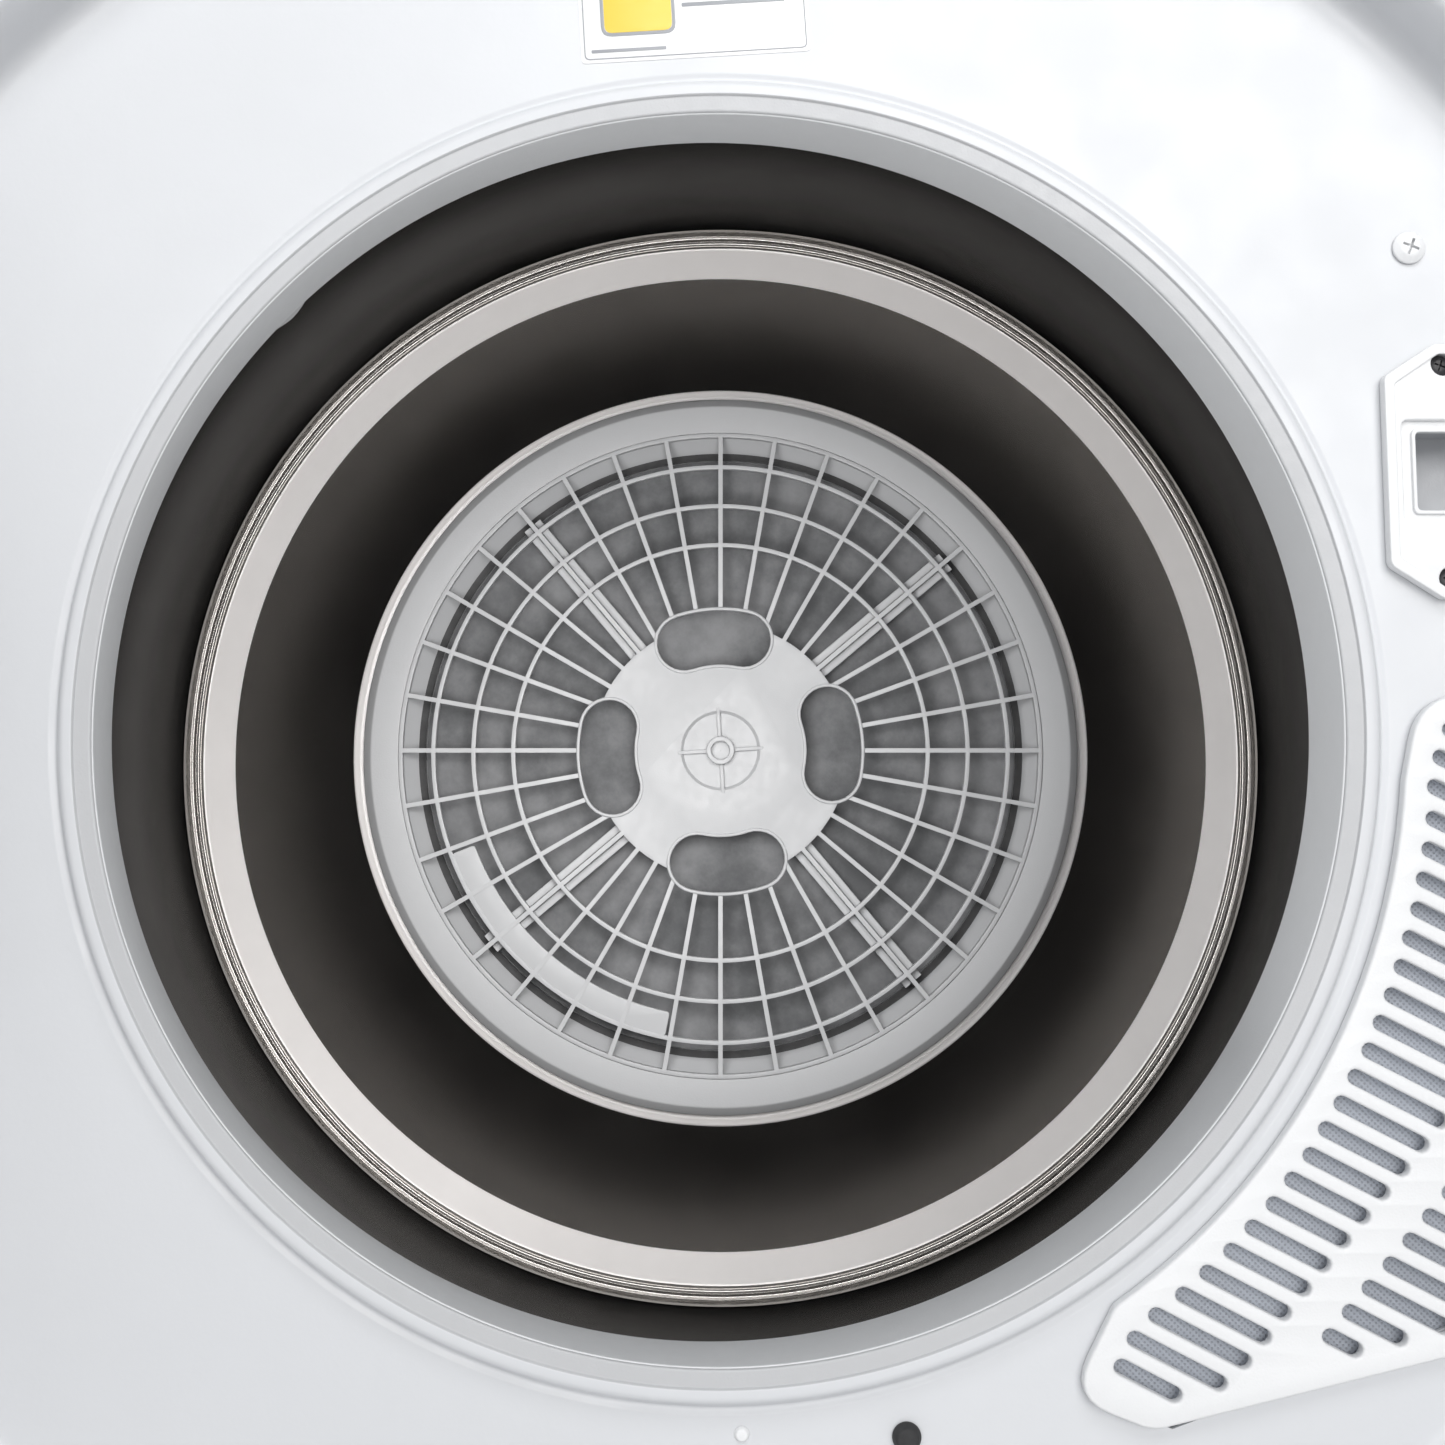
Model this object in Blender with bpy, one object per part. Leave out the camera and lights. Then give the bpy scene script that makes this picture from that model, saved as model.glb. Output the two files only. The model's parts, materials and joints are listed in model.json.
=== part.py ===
"""A front-loading vented clothes dryer with its round door open.

Metres, +Z up. The front faces -Y and the viewer's right is +X. The origin is the middle of the base pan's
underside. The drum turns about a line along Y at height AXIS_Z.
"""

import math

import bmesh
import bpy
from mathutils import Matrix, Vector

# ---- Cabinet -----------------------------------------------------------------------------------------------
WIDTH = 0.595
DEPTH = 0.560
BODY_HEIGHT = 0.830  # underside of the base pan to the top of the worktop
FOOT_HEIGHT = 0.015
SHEET = 0.0012  # painted steel
SEAT = 0.0004  # gap between pieces that touch
WORKTOP_THICKNESS = 0.018
FASCIA_HEIGHT = 0.107
FASCIA_PROUD = 0.006
KICK_HEIGHT = 0.060
PAN_WALL = 0.030
FLANGE = 0.014  # folded edge of a side panel

# ---- Drum and what surrounds it ----------------------------------------------------------------------------
DRUM_SIDE_GAP = 0.0103  # drum to side panel
UNDER_DRUM = 0.139
OVER_DRUM = 0.101
FRONT_ROOM = 0.027  # recess floor to drum
REAR_ROOM = 0.092  # drum to the back of the cabinet
DRUM_SHEET = 0.001
SEAM_WIDTH = 0.0090  # beads between the drum wall and the flat ring of its back
BAND_WIDTH = 0.0169  # flat bright ring
CONE_RISE = 0.038  # how far the back of the drum bulges towards the door
FILTER_SHARE = 0.63182  # the hemmed hole in the drum's back, against the drum
HEM_WIDTH = 0.0059
LIFTER_ANGLES = (15.0, 135.0, 255.0)
LIFTER_LENGTH = 0.270
LIFTER_HEIGHT = 0.034
LIFTER_WIDTH = 0.048

# ---- Front panel -------------------------------------------------------------------------------------------
STILE = 0.0295  # flat front beside the door recess
RECESS_TOP_MARGIN = 0.010
RECESS_DEPTH = 0.025
LAND_SHARE = 0.33731  # flat floor between the recess wall and the mouth, against the recess
RING_HEIGHT = 0.006  # pressed ring round the mouth
RING_WIDTH = 0.010
COLLAR_DEPTH = 0.020
LIP_OFFSET = -0.0025  # the collar's lip sits this far towards the hinge

# ---- Lint filter -------------------------------------------------------------------------------------------
SPOKES = 36
SPOKE_WIDTH = 0.0022
GRILLE_THICKNESS = 0.0036
KIDNEY_RIM = 0.0018
KIDNEY_TURN = 3.5  # degrees
SHAFT_RADIUS = 0.010

# ---- Door --------------------------------------------------------------------------------------------------
DOOR_GAP = 0.004
DOOR_PROUD = 0.020  # how far the shut door stands out of the front
DOOR_SKIN = 0.003
DOOR_OPEN = 105.0  # degrees
HINGE_INSET = 0.0125
HINGE_PROUD = 0.010
PIN_RADIUS = 0.0025
GLASS_THICKNESS = 0.004
BOWL_DEPTH = 0.030

# ---- Drive -------------------------------------------------------------------------------------------------
MOTOR_SIDE_GAP = 0.0963
MOTOR_Z = 0.095
MOTOR_RADIUS = 0.055
MOTOR_LENGTH = 0.130
ROTOR_RADIUS = 0.006
PULLEY_RADIUS = 0.0105
BLOWER_RADIUS = 0.062
BELT_THICKNESS = 0.002
BELT_WIDTH = 0.008
IDLER_RADIUS = 0.016
IDLER_PIN = 0.0042
ROLLER_RADIUS = 0.025
ROLLER_PIN = 0.005
ROLLER_ANGLES = (242.0, 298.0)

# ---- Worked out from the sizes above -------------------------------------------------------------------------
FRONT = -DEPTH / 2
BACK = DEPTH / 2
SIDE = WIDTH / 2
INSIDE = SIDE - SHEET
TOP = BODY_HEIGHT - WORKTOP_THICKNESS
DRUM_RADIUS = min(INSIDE - DRUM_SIDE_GAP, (TOP - OVER_DRUM - UNDER_DRUM) / 2)
AXIS_Z = UNDER_DRUM + DRUM_RADIUS
FILTER_OPENING = FILTER_SHARE * DRUM_RADIUS
GRILLE_RADIUS = 0.8937 * FILTER_OPENING
RING_RADII = tuple(share * FILTER_OPENING for share in (0.5755, 0.6862, 0.7974))
HUB_RADIUS = 0.3553 * FILTER_OPENING
KIDNEY_LENGTH = 0.3193 * FILTER_OPENING
KIDNEY_WIDTH = 0.1638 * FILTER_OPENING
FASCIA_BOTTOM = TOP - FASCIA_HEIGHT
RECESS_RADIUS = min(SIDE - STILE, FASCIA_BOTTOM - RECESS_TOP_MARGIN - AXIS_Z)
MOUTH_RADIUS = RECESS_RADIUS * (1 - LAND_SHARE)
FLOOR = FRONT + RECESS_DEPTH
BULKHEAD = FLOOR + 0.0205
DRUM_FRONT = FLOOR + FRONT_ROOM
DRUM_BACK = BACK - REAR_ROOM
BAND_Y = DRUM_BACK - 0.003
NECK_Y = BAND_Y - CONE_RISE  # front of the cone, where the filter sits
CHAMBER_FRONT = DRUM_BACK + 0.005
CHAMBER_BACK = BACK - 0.012
MOTOR_X = INSIDE - MOTOR_SIDE_GAP
MOTOR_BACK = DRUM_BACK - 0.078
MOTOR_FRONT = MOTOR_BACK - MOTOR_LENGTH
BELT_Y = MOTOR_FRONT - 0.025
DOOR_RADIUS = RECESS_RADIUS - DOOR_GAP
WINDOW_RADIUS = 0.5682 * DOOR_RADIUS
HINGE_HALF = 0.2052 * RECESS_RADIUS
LATCH_X = 0.7612 * RECESS_RADIUS
LATCH_UP = 0.2519 * RECESS_RADIUS  # above the drum's axis
DOOR_FACE = FRONT - DOOR_PROUD
DOOR_BACK = FLOOR - 0.006
GLASS_SEAT = DOOR_BACK - 0.014
HINGE_X = -(RECESS_RADIUS - HINGE_INSET)
HINGE_Y = FRONT - HINGE_PROUD

ROUND = 40  # sides of a large circle
SMALL = 16  # sides of a small one
RIGHT_ANGLE = math.pi / 2
RUNNING = 0.00003  # between a shaft and the flats of its bore


# ---- Making pieces -----------------------------------------------------------------------------------------
def clear_scene():
    for obj in list(bpy.data.objects):
        bpy.data.objects.remove(obj)


def paint(name, colour, roughness, metallic=0.0):
    material = bpy.data.materials.new(name)
    material.use_nodes = True
    shader = material.node_tree.nodes["Principled BSDF"]
    shader.inputs["Base Color"].default_value = (*colour, 1.0)
    shader.inputs["Roughness"].default_value = roughness
    shader.inputs["Metallic"].default_value = metallic
    return material


def add(name, bm, material, at=(0, 0, 0), parent=None):
    """Turns a bmesh into a named object whose origin is at the given place."""
    bmesh.ops.remove_doubles(bm, verts=bm.verts, dist=1e-6)
    bmesh.ops.recalc_face_normals(bm, faces=bm.faces)
    mesh = bpy.data.meshes.new(name)
    bm.to_mesh(mesh)
    bm.free()
    mesh.shade_smooth()
    mesh.set_sharp_from_angle(angle=math.radians(35))
    if material:
        mesh.materials.append(material)
    obj = bpy.data.objects.new(name, mesh)
    bpy.context.collection.objects.link(obj)
    obj.location = at
    obj.parent = parent
    return obj


def box_mesh(bm, low, high):
    size = [h - l for l, h in zip(low, high)]
    middle = [(h + l) / 2 for l, h in zip(low, high)]
    place = Matrix.Translation(middle) @ Matrix.Diagonal((*size, 1))
    bmesh.ops.create_cube(bm, size=1, matrix=place)


def box(name, low, high, material=None, **where):
    bm = bmesh.new()
    box_mesh(bm, low, high)
    return add(name, bm, material, **where)


def along(axis, u, v, w):
    """A point at (u, v) in the plane across an axis, and w along it."""
    return {"X": (w, u, v), "Y": (u, w, v), "Z": (u, v, w)}[axis]


def prism(name, outline, low, high, material=None, axis="Y", **where):
    """An outline across an axis, extruded along it."""
    bm = bmesh.new()
    face = bm.faces.new([bm.verts.new(along(axis, u, v, low)) for u, v in outline])
    made = bmesh.ops.extrude_face_region(bm, geom=[face])["geom"]
    step = Vector(along(axis, 0, 0, high - low))
    bmesh.ops.translate(bm, verts=[v for v in made if isinstance(v, bmesh.types.BMVert)], vec=step)
    return add(name, bm, material, **where)


def turned(name, profile, material=None, axis="Y", steps=ROUND, **where):
    """A closed profile of (radius, place along the axis) points, spun about that axis."""
    bm = bmesh.new()
    points = [bm.verts.new(along(axis, radius, 0, w)) for radius, w in profile]
    edges = [bm.edges.new((a, b)) for a, b in zip(points, points[1:] + points[:1])]
    bmesh.ops.spin(
        bm,
        geom=points + edges,
        cent=(0, 0, 0),
        axis=along(axis, 0, 0, 1),
        dvec=(0, 0, 0),
        angle=2 * math.pi,
        steps=steps,
        use_merge=True,
        use_duplicate=False,
    )
    bmesh.ops.dissolve_degenerate(bm, edges=bm.edges, dist=1e-7)
    return add(name, bm, material, **where)


def ring(name, inner, outer, low, high, material=None, **where):
    return turned(name, [(inner, low), (outer, low), (outer, high), (inner, high)], material, **where)


def disc(name, radius, low, high, material=None, **where):
    return turned(name, [(0, low), (radius, low), (radius, high), (0, high)], material, **where)


def loft(name, loops, material=None, **where):
    """Loops of as many points each, joined one to the next and the last to the first."""
    bm = bmesh.new()
    rows = [[bm.verts.new(point) for point in loop] for loop in loops]
    for row, following in zip(rows, rows[1:] + rows[:1]):
        for i in range(len(row)):
            j = (i + 1) % len(row)
            bm.faces.new((row[i], row[j], following[j], following[i]))
    return add(name, bm, material, **where)


def helper(obj):
    """Marks an object as a cutter or a part of another, which is not a piece of its own."""
    obj.hide_render = True
    obj.display_type = "WIRE"
    return obj


def change(obj, other, operation):
    modifier = obj.modifiers.new(f"{operation.title()} {other.name}", "BOOLEAN")
    modifier.operation = operation
    modifier.solver = "EXACT"
    modifier.object = helper(other)
    return obj


def cut(obj, *others):
    for other in others:
        change(obj, other, "DIFFERENCE")
    return obj


def join(obj, *others):
    for other in others:
        change(obj, other, "UNION")
    return obj


# ---- Outlines ----------------------------------------------------------------------------------------------
def arc(radius, start, end, count, centre=(0, 0)):
    """Points on an arc, angles in degrees."""
    steps = [math.radians(start + (end - start) * i / count) for i in range(count + 1)]
    return [(centre[0] + radius * math.cos(a), centre[1] + radius * math.sin(a)) for a in steps]


def round_belt(first, first_radius, second, second_radius, count):
    """The outline of a belt round two circles, the first being the larger."""
    dx, dz = second[0] - first[0], second[1] - first[1]
    towards = math.degrees(math.atan2(dz, dx))
    lean = math.degrees(math.acos((first_radius - second_radius) / math.hypot(dx, dz)))
    large = arc(first_radius, towards + lean, towards + 360 - lean, count, first)
    small = arc(second_radius, towards - lean, towards + lean, 8, second)
    return large + small


def stadium(length, width, centre, turn, count=5):
    """A slot with round ends, its length across the direction given in degrees."""
    half = (length - width) / 2
    ends = arc(width / 2, -90, 90, count, (half, 0)) + arc(width / 2, 90, 270, count, (-half, 0))
    c, s = math.cos(math.radians(turn + 90)), math.sin(math.radians(turn + 90))
    return [(centre[0] + u * c - v * s, centre[1] + u * s + v * c) for u, v in ends]


def bore(radius, steps, clearance=RUNNING):
    """The corner radius of a hole with so many sides, whose flats clear a shaft of the given radius."""
    return (radius + clearance) / math.cos(math.pi / steps)


def polar(radius, degrees):
    return (radius * math.cos(math.radians(degrees)), radius * math.sin(math.radians(degrees)))


def circle_loop(radius, y, offset=0.0, centre_z=AXIS_Z):
    return [
        (offset + radius * math.cos(a), y, centre_z + radius * math.sin(a))
        for a in (2 * math.pi * i / ROUND for i in range(ROUND))
    ]


def frame_loop(half_width, low, high, y):
    """A rectangle drawn with as many points as a circle, each corner included."""
    corners = [(sx * half_width, z) for sx in (1, -1) for z in (low, high)]
    points = []
    for i in range(ROUND):
        c, s = math.cos(2 * math.pi * i / ROUND), math.sin(2 * math.pi * i / ROUND)
        reach = min(
            half_width / abs(c) if abs(c) > 1e-9 else math.inf,
            (high - AXIS_Z) / s if s > 1e-9 else (low - AXIS_Z) / s if s < -1e-9 else math.inf,
        )
        points.append([reach * c, y, AXIS_Z + reach * s])
    for x, z in corners:
        nearest = min(points, key=lambda p: (p[0] - x) ** 2 + (p[2] - z) ** 2)
        nearest[0], nearest[2] = x, z
    return points


# ---- Cabinet -----------------------------------------------------------------------------------------------
WELL = 0.0010  # dimples in the pan's underside, for the feet


def foot_places():
    return [(sx * (SIDE - 0.045), sy * (DEPTH / 2 - 0.045)) for sx, sy in ((-1, -1), (1, -1), (-1, 1), (1, 1))]


def base_pan(steel):
    """A tray with four dimples pressed up into its floor, where the feet are screwed in."""
    reach = INSIDE - SEAT
    low, high = FRONT + SHEET + SEAT, BACK - SHEET - SEAT
    pan = box("base_pan", (-reach, low, 0), (reach, high, PAN_WALL), steel)
    inner = box("base_pan_hollow", (-reach + SHEET, low + SHEET, SHEET), (reach - SHEET, high - SHEET, 1))
    cut(pan, inner)
    for i, (x, y) in enumerate(foot_places()):
        join(pan, disc(f"pan_boss_{i}", 0.0245, SHEET / 2, SHEET + WELL, axis="Z", steps=24, at=(x, y, 0)))
    for i, (x, y) in enumerate(foot_places()):
        cut(pan, disc(f"pan_well_{i}", 0.0225, -1, WELL, axis="Z", steps=24, at=(x, y, 0)))
    return pan


def side_panel(name, sign, white):
    """A flat sheet with its front and back edges folded in."""
    low, high = FRONT + SHEET + SEAT, BACK - SHEET - SEAT
    inner, fold = SIDE - SHEET, SIDE - FLANGE
    outline = [
        (SIDE, low), (SIDE, high), (fold, high), (fold, high - SHEET),
        (inner, high - SHEET), (inner, low + SHEET), (fold, low + SHEET), (fold, low),
    ]  # fmt: skip
    points = [(sign * x, y) for x, y in outline]
    sheet = prism(name, points, 0.004, TOP - SEAT, white, axis="Z")
    clear_pan = box(f"{name}_foot", (-INSIDE, FRONT, -1), (INSIDE, BACK, PAN_WALL + SEAT))
    clear_fascia = box(f"{name}_head", (-INSIDE, FRONT, FASCIA_BOTTOM - SEAT), (INSIDE, FRONT + 0.012, 1))
    return cut(sheet, clear_pan, clear_fascia)


def rear_panel(zinc):
    panel = box("rear_panel", (-SIDE, BACK - SHEET, 0.004), (SIDE, BACK, TOP - SEAT), zinc)
    outlet = disc("rear_outlet", 0.036, BACK - 0.01, BACK + 0.01, steps=24, at=(EXHAUST_X, 0, EXHAUST_Z))
    gland = disc("rear_gland_hole", 0.0085, BACK - 0.01, BACK + 0.01, steps=SMALL, at=(GLAND_X, 0, GLAND_Z))
    louvres = bmesh.new()
    for row in range(LOUVRES):
        z = LOUVRE_Z + row * 0.014
        box_mesh(louvres, (-LOUVRE_HALF, BACK - 0.01, z), (LOUVRE_HALF, BACK + 0.01, z + 0.005))
    return cut(panel, outlet, gland, add("rear_louvres", louvres, None))


def worktop(white):
    top = box("worktop", (-SIDE, FRONT, TOP), (SIDE, BACK, BODY_HEIGHT), white)
    edge = top.modifiers.new("Softened edges", "BEVEL")
    edge.width = 0.003
    edge.segments = 2
    return top


def feet(rubber):
    top = WELL - SEAT
    for i, (x, y) in enumerate(foot_places(), start=1):
        profile = [(0, -FOOT_HEIGHT), (0.020, -FOOT_HEIGHT), (0.018, top - 0.004), (0.010, top), (0, top)]
        turned(f"levelling_foot_{i}", profile, rubber, axis="Z", steps=SMALL, at=(x, y, 0))


def kick_panel(white):
    return box("kick_panel", (-SIDE, FRONT, 0.004), (SIDE, FRONT + SHEET, KICK_HEIGHT), white)


EXHAUST_X = -0.005
EXHAUST_Z = 0.069
GLAND_X = -0.21
GLAND_Z = TOP - 0.112
LOUVRES = 6
LOUVRE_Z = TOP - 0.087
LOUVRE_HALF = 0.09


# ---- Front panel and the mouth -----------------------------------------------------------------------------
def pressed_profile():
    """(radius, y) down the front of the pressed panel, from the recess edge to the mouth."""
    ring_top = FLOOR - RING_HEIGHT
    return [
        (RECESS_RADIUS + 0.002, FRONT),
        (RECESS_RADIUS, FLOOR),
        (MOUTH_RADIUS, FLOOR),
        (MOUTH_RADIUS - 0.0015, ring_top),
        (MOUTH_RADIUS - RING_WIDTH, ring_top),
    ]


def front_panel(white):
    low, high = KICK_HEIGHT + SEAT, FASCIA_BOTTOM - SEAT
    face = pressed_profile()
    (edge, _), (wall, _), (foot, _), (brow, ring_top), (mouth, _) = face
    back = [
        (mouth, ring_top + SHEET),
        (brow - SHEET, ring_top + SHEET),
        (foot - SHEET, FLOOR + SHEET),
        (wall + SHEET, FLOOR + SHEET),
        (edge + SHEET, FRONT + SHEET),
    ]
    loops = [frame_loop(SIDE, low, high, FRONT)]
    loops += [circle_loop(radius, y) for radius, y in face + back]
    loops.append(frame_loop(SIDE, low, high, FRONT + SHEET))
    panel = loft("front_panel", loops, white)
    vent = prism("vent_cutout", vent_outline(0.006), FLOOR - 0.01, FLOOR + 0.01, at=(0, 0, AXIS_Z))
    half_x, half_z = LATCH_HOLE
    lo = (LATCH_X - half_x, FLOOR - 0.01, LATCH_Z - half_z)
    hi = (LATCH_X + half_x, FLOOR + 0.01, LATCH_Z + half_z)
    return cut(panel, vent, box("latch_cutout", lo, hi))


LATCH_Z = AXIS_Z + LATCH_UP
LATCH_HOLE = (0.0165, 0.0135)


def mouth_collar(grey):
    """The ring that leads from the pressed edge into the drum. Its lip is not quite on the mouth's centre."""
    y = FLOOR - RING_HEIGHT + SHEET + SEAT
    throat = MOUTH_RADIUS - RING_WIDTH
    lip = FLOOR + COLLAR_DEPTH
    return loft(
        "mouth_collar",
        [
            circle_loop(throat - 0.0004, y),
            circle_loop(throat + 0.0009, lip, LIP_OFFSET),
            circle_loop(throat + 0.0031, lip, LIP_OFFSET),
            circle_loop(throat + 0.0026, y),
        ],
        grey,
    )


def front_bulkhead(zinc):
    """The plate that closes the front of the drum, with the roller pins and the hot-air opening."""
    bore = MOUTH_RADIUS - 0.0026
    reach = DRUM_RADIUS + 0.008
    profile = [
        (bore, BULKHEAD - 0.0055),
        (bore + SHEET, BULKHEAD - 0.0055),
        (bore + SHEET, BULKHEAD - SHEET),
        (reach, BULKHEAD - SHEET),
        (reach, BULKHEAD),
        (bore, BULKHEAD),
    ]
    plate = turned("front_bulkhead", profile, zinc, at=(0, 0, AXIS_Z))
    width = 0.62 * DRUM_RADIUS
    foot = box(
        "bulkhead_foot",
        (-width, BULKHEAD - 0.0010, PAN_WALL + 0.004),
        (width, BULKHEAD - 0.0002, AXIS_Z - 0.75 * DRUM_RADIUS),
    )
    join(plate, foot)
    for side, (x, z) in zip(("left", "right"), roller_centres()):
        pin = disc(f"roller_pin_{side}", ROLLER_PIN, BULKHEAD - 0.0008, BULKHEAD + 0.034, steps=SMALL, at=(x, 0, z))
        join(plate, pin)
    air = prism("hot_air_opening", air_outline(), BULKHEAD - 0.01, BULKHEAD + 0.01, at=(0, 0, AXIS_Z))
    return cut(plate, air)


def air_outline():
    inner, outer = MOUTH_RADIUS + 0.018, DRUM_RADIUS - 0.034
    return arc(inner, -52, -16, 6) + arc(outer, -16, -52, 6)


def drum_felt(felt):
    return ring(
        "drum_felt",
        DRUM_RADIUS - 0.010,
        DRUM_RADIUS - 0.0015,
        BULKHEAD + SEAT,
        DRUM_FRONT - SEAT,
        felt,
        at=(0, 0, AXIS_Z),
    )


# ---- Vent grille and latch on the recess floor -------------------------------------------------------------
VENT_INNER = MOUTH_RADIUS + 0.0062
VENT_OUTER = RECESS_RADIUS - 0.012
VENT_START = -60.0  # degrees about the drum's axis
VENT_END = 2.0
VENT_THICKNESS = 0.004
SLOT_ANGLE = -27.0
SLOT_PITCH = 0.00784
SLOT_WIDTH = 0.0042
SLOT_MARGIN = 0.0065
RIB_WIDTH = 0.0095
RIB_ANGLE = 48.6


def vent_outline(inset=0.0):
    """Curved along the mouth on one side and along the recess wall on the other, straight at the foot."""
    inner, outer = VENT_INNER + inset, VENT_OUTER - inset
    trim = math.degrees(inset / inner)
    start, end = VENT_START + trim, VENT_END - trim
    foot = polar(inner + 0.030, start + 1.5)
    return (
        arc(inner, end - 3.0, start + 1.5, 10)
        + [polar(inner + 0.009, start - 0.6), foot]
        + arc(outer, start + 20.5, end, 8)
        + [polar(inner + 0.012, end)]
    )


def inside(outline, u, v):
    """Whether a point lies inside an outline."""
    found = False
    for (u1, v1), (u2, v2) in zip(outline, outline[1:] + outline[:1]):
        if (v1 > v) != (v2 > v) and u < (u2 - u1) * (v - v1) / (v2 - v1) + u1:
            found = not found
    return found


def vent_slots():
    """(start, end) of each slot, where slanted lines cross the grille inside its margin and clear of its rib."""
    border = vent_outline(SLOT_MARGIN)
    d = polar(1, SLOT_ANGLE)
    n = (-d[1], d[0])
    rib_point = polar((VENT_INNER + VENT_OUTER) / 2, (VENT_START + VENT_END) / 2 - 5)
    r = polar(1, RIB_ANGLE)
    slots = []
    step = 0.0005
    for line in range(-40, 60):
        run = []
        for k in range(0, 900):
            t = k * step
            u, v = line * SLOT_PITCH * n[0] + t * d[0], line * SLOT_PITCH * n[1] + t * d[1]
            off_rib = abs((u - rib_point[0]) * r[1] - (v - rib_point[1]) * r[0])
            if inside(border, u, v) and off_rib > RIB_WIDTH / 2:
                run.append((u, v))
            elif run:
                slots.append((run[0], run[-1]))
                run = []
    return [(a, b) for a, b in slots if math.dist(a, b) > 2.2 * SLOT_WIDTH]


def vent_grille(white):
    y = FLOOR - SEAT
    plate = prism("vent_grille", vent_outline(), y - VENT_THICKNESS, y, white, at=(0, 0, AXIS_Z))
    slots = bmesh.new()
    for (u1, v1), (u2, v2) in vent_slots():
        length = math.hypot(u2 - u1, v2 - v1)
        place = Matrix.Translation(((u1 + u2) / 2, y, (v1 + v2) / 2))
        turn = Matrix.Rotation(-math.atan2(v2 - v1, u2 - u1), 4, "Y")
        size = Matrix.Diagonal((length, 0.02, SLOT_WIDTH, 1))
        bmesh.ops.create_cube(slots, size=1, matrix=place @ turn @ size)
    return cut(plate, add("vent_slots", slots, None, at=(0, 0, AXIS_Z)))


def vent_screen(blue_grey):
    y = FLOOR + SHEET + SEAT
    return prism("vent_screen", vent_outline(0.003), y, y + 0.0015, blue_grey, at=(0, 0, AXIS_Z))


def heater_element(ceramic):
    """A flat finned heater between the vent's screen and the bulkhead."""
    low, high = FLOOR + 0.0045, BULKHEAD - SHEET - 0.002
    inner, outer = MOUTH_RADIUS + 0.014, RECESS_RADIUS - 0.030
    outline = arc(inner, -50, -18, 6) + arc(outer, -18, -50, 6)
    heater = prism("heater_element", outline, low, high, ceramic, at=(0, 0, AXIS_Z))
    half = 0.0163 * (inner + outer) / 2
    grooves = bmesh.new()
    for i in range(5):
        middle = polar((inner + outer) / 2, -46 + i * 6)
        lo = (middle[0] - half, low - 0.01, middle[1] - 0.012)
        box_mesh(grooves, lo, (middle[0] + half, high + 0.01, middle[1] + 0.012))
    return cut(heater, add("heater_grooves", grooves, None, at=(0, 0, AXIS_Z)))


def latch_plate(white):
    half_x, half_z = 0.0225, 0.035
    outline = [
        (half_x - 0.010, -half_z), (half_x, -half_z + 0.008), (half_x, half_z - 0.008), (half_x - 0.010, half_z),
        (-half_x + 0.014, half_z), (-half_x, half_z - 0.009), (-half_x, -half_z + 0.009), (-half_x + 0.014, -half_z),
    ]  # fmt: skip
    y = FLOOR - SEAT
    plate = prism("latch_plate", outline, y - 0.0035, y, white, at=(LATCH_X, 0, LATCH_Z))
    half = (LATCH_HOLE[0] - 0.002, LATCH_HOLE[1] - 0.002)
    hole = box("latch_plate_slot", (-half[0], y - 0.01, -half[1]), (half[0], y + 0.01, half[1]))
    hole.location = (LATCH_X, 0, LATCH_Z)
    return cut(plate, hole)


def latch_housing(dark):
    """An open box behind the panel that receives the door's hook."""
    half_x, half_z = LATCH_HOLE[0] + 0.001, LATCH_HOLE[1] + 0.001
    y, end = FLOOR + SHEET + SEAT, BULKHEAD - SHEET - SEAT
    at = (LATCH_X, 0, LATCH_Z)
    shell = box("latch_housing", (-half_x, y, -half_z), (half_x, end, half_z), dark, at=at)
    wide, tall = half_x - 0.0015, half_z - 0.0015
    return cut(shell, box("latch_hollow", (-wide, y - 0.01, -tall), (wide, end - 0.0015, tall), at=at))


def panel_screw(steel):
    x, z = 0.7127 * RECESS_RADIUS, AXIS_Z + 0.4869 * RECESS_RADIUS
    profile = [(0, -0.0022), (0.0026, -0.0020), (0.0045, -SEAT), (0, -SEAT)]
    return turned("panel_screw", profile, steel, steps=SMALL, at=(x, FLOOR, z))


def door_buffer(rubber):
    """A small rubber stop low on the recess floor."""
    x, z = polar(MOUTH_RADIUS + 0.0147, -75.3)
    profile = [(0, -0.0030), (0.0030, -0.0030), (0.0038, -SEAT), (0, -SEAT)]
    return turned("door_buffer", profile, rubber, steps=SMALL, at=(x, FLOOR, AXIS_Z + z))


# ---- Controls ----------------------------------------------------------------------------------------------
DIAL_Z = FASCIA_BOTTOM + FASCIA_HEIGHT / 2
TIMER_X = 0.36 * SIDE
HEAT_X = 0.0
BUTTON_X = 0.70 * SIDE
STEM_RADIUS = 0.004
BUTTON_RADIUS = 0.011
BUTTON_TRAVEL = 0.003


def control_fascia(white):
    face = FRONT - FASCIA_PROUD
    low, high = FASCIA_BOTTOM, TOP - SEAT
    shell = box("control_fascia", (-SIDE, face, low), (SIDE, FRONT + SHEET, high), white)
    wall = 0.003
    hollow = box("fascia_hollow", (-SIDE + wall, face + wall, low + wall), (SIDE - wall, 0, high - wall))
    cut(shell, hollow)
    for name, x, radius in (
        ("timer", TIMER_X, bore(STEM_RADIUS, SMALL)),
        ("heat", HEAT_X, bore(STEM_RADIUS, SMALL)),
        ("button", BUTTON_X, bore(BUTTON_RADIUS, SMALL)),
    ):
        hole = disc(f"{name}_hole", radius, face - 0.01, FRONT, steps=SMALL, at=(x, 0, DIAL_Z))
        cut(shell, hole)
    return shell


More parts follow.
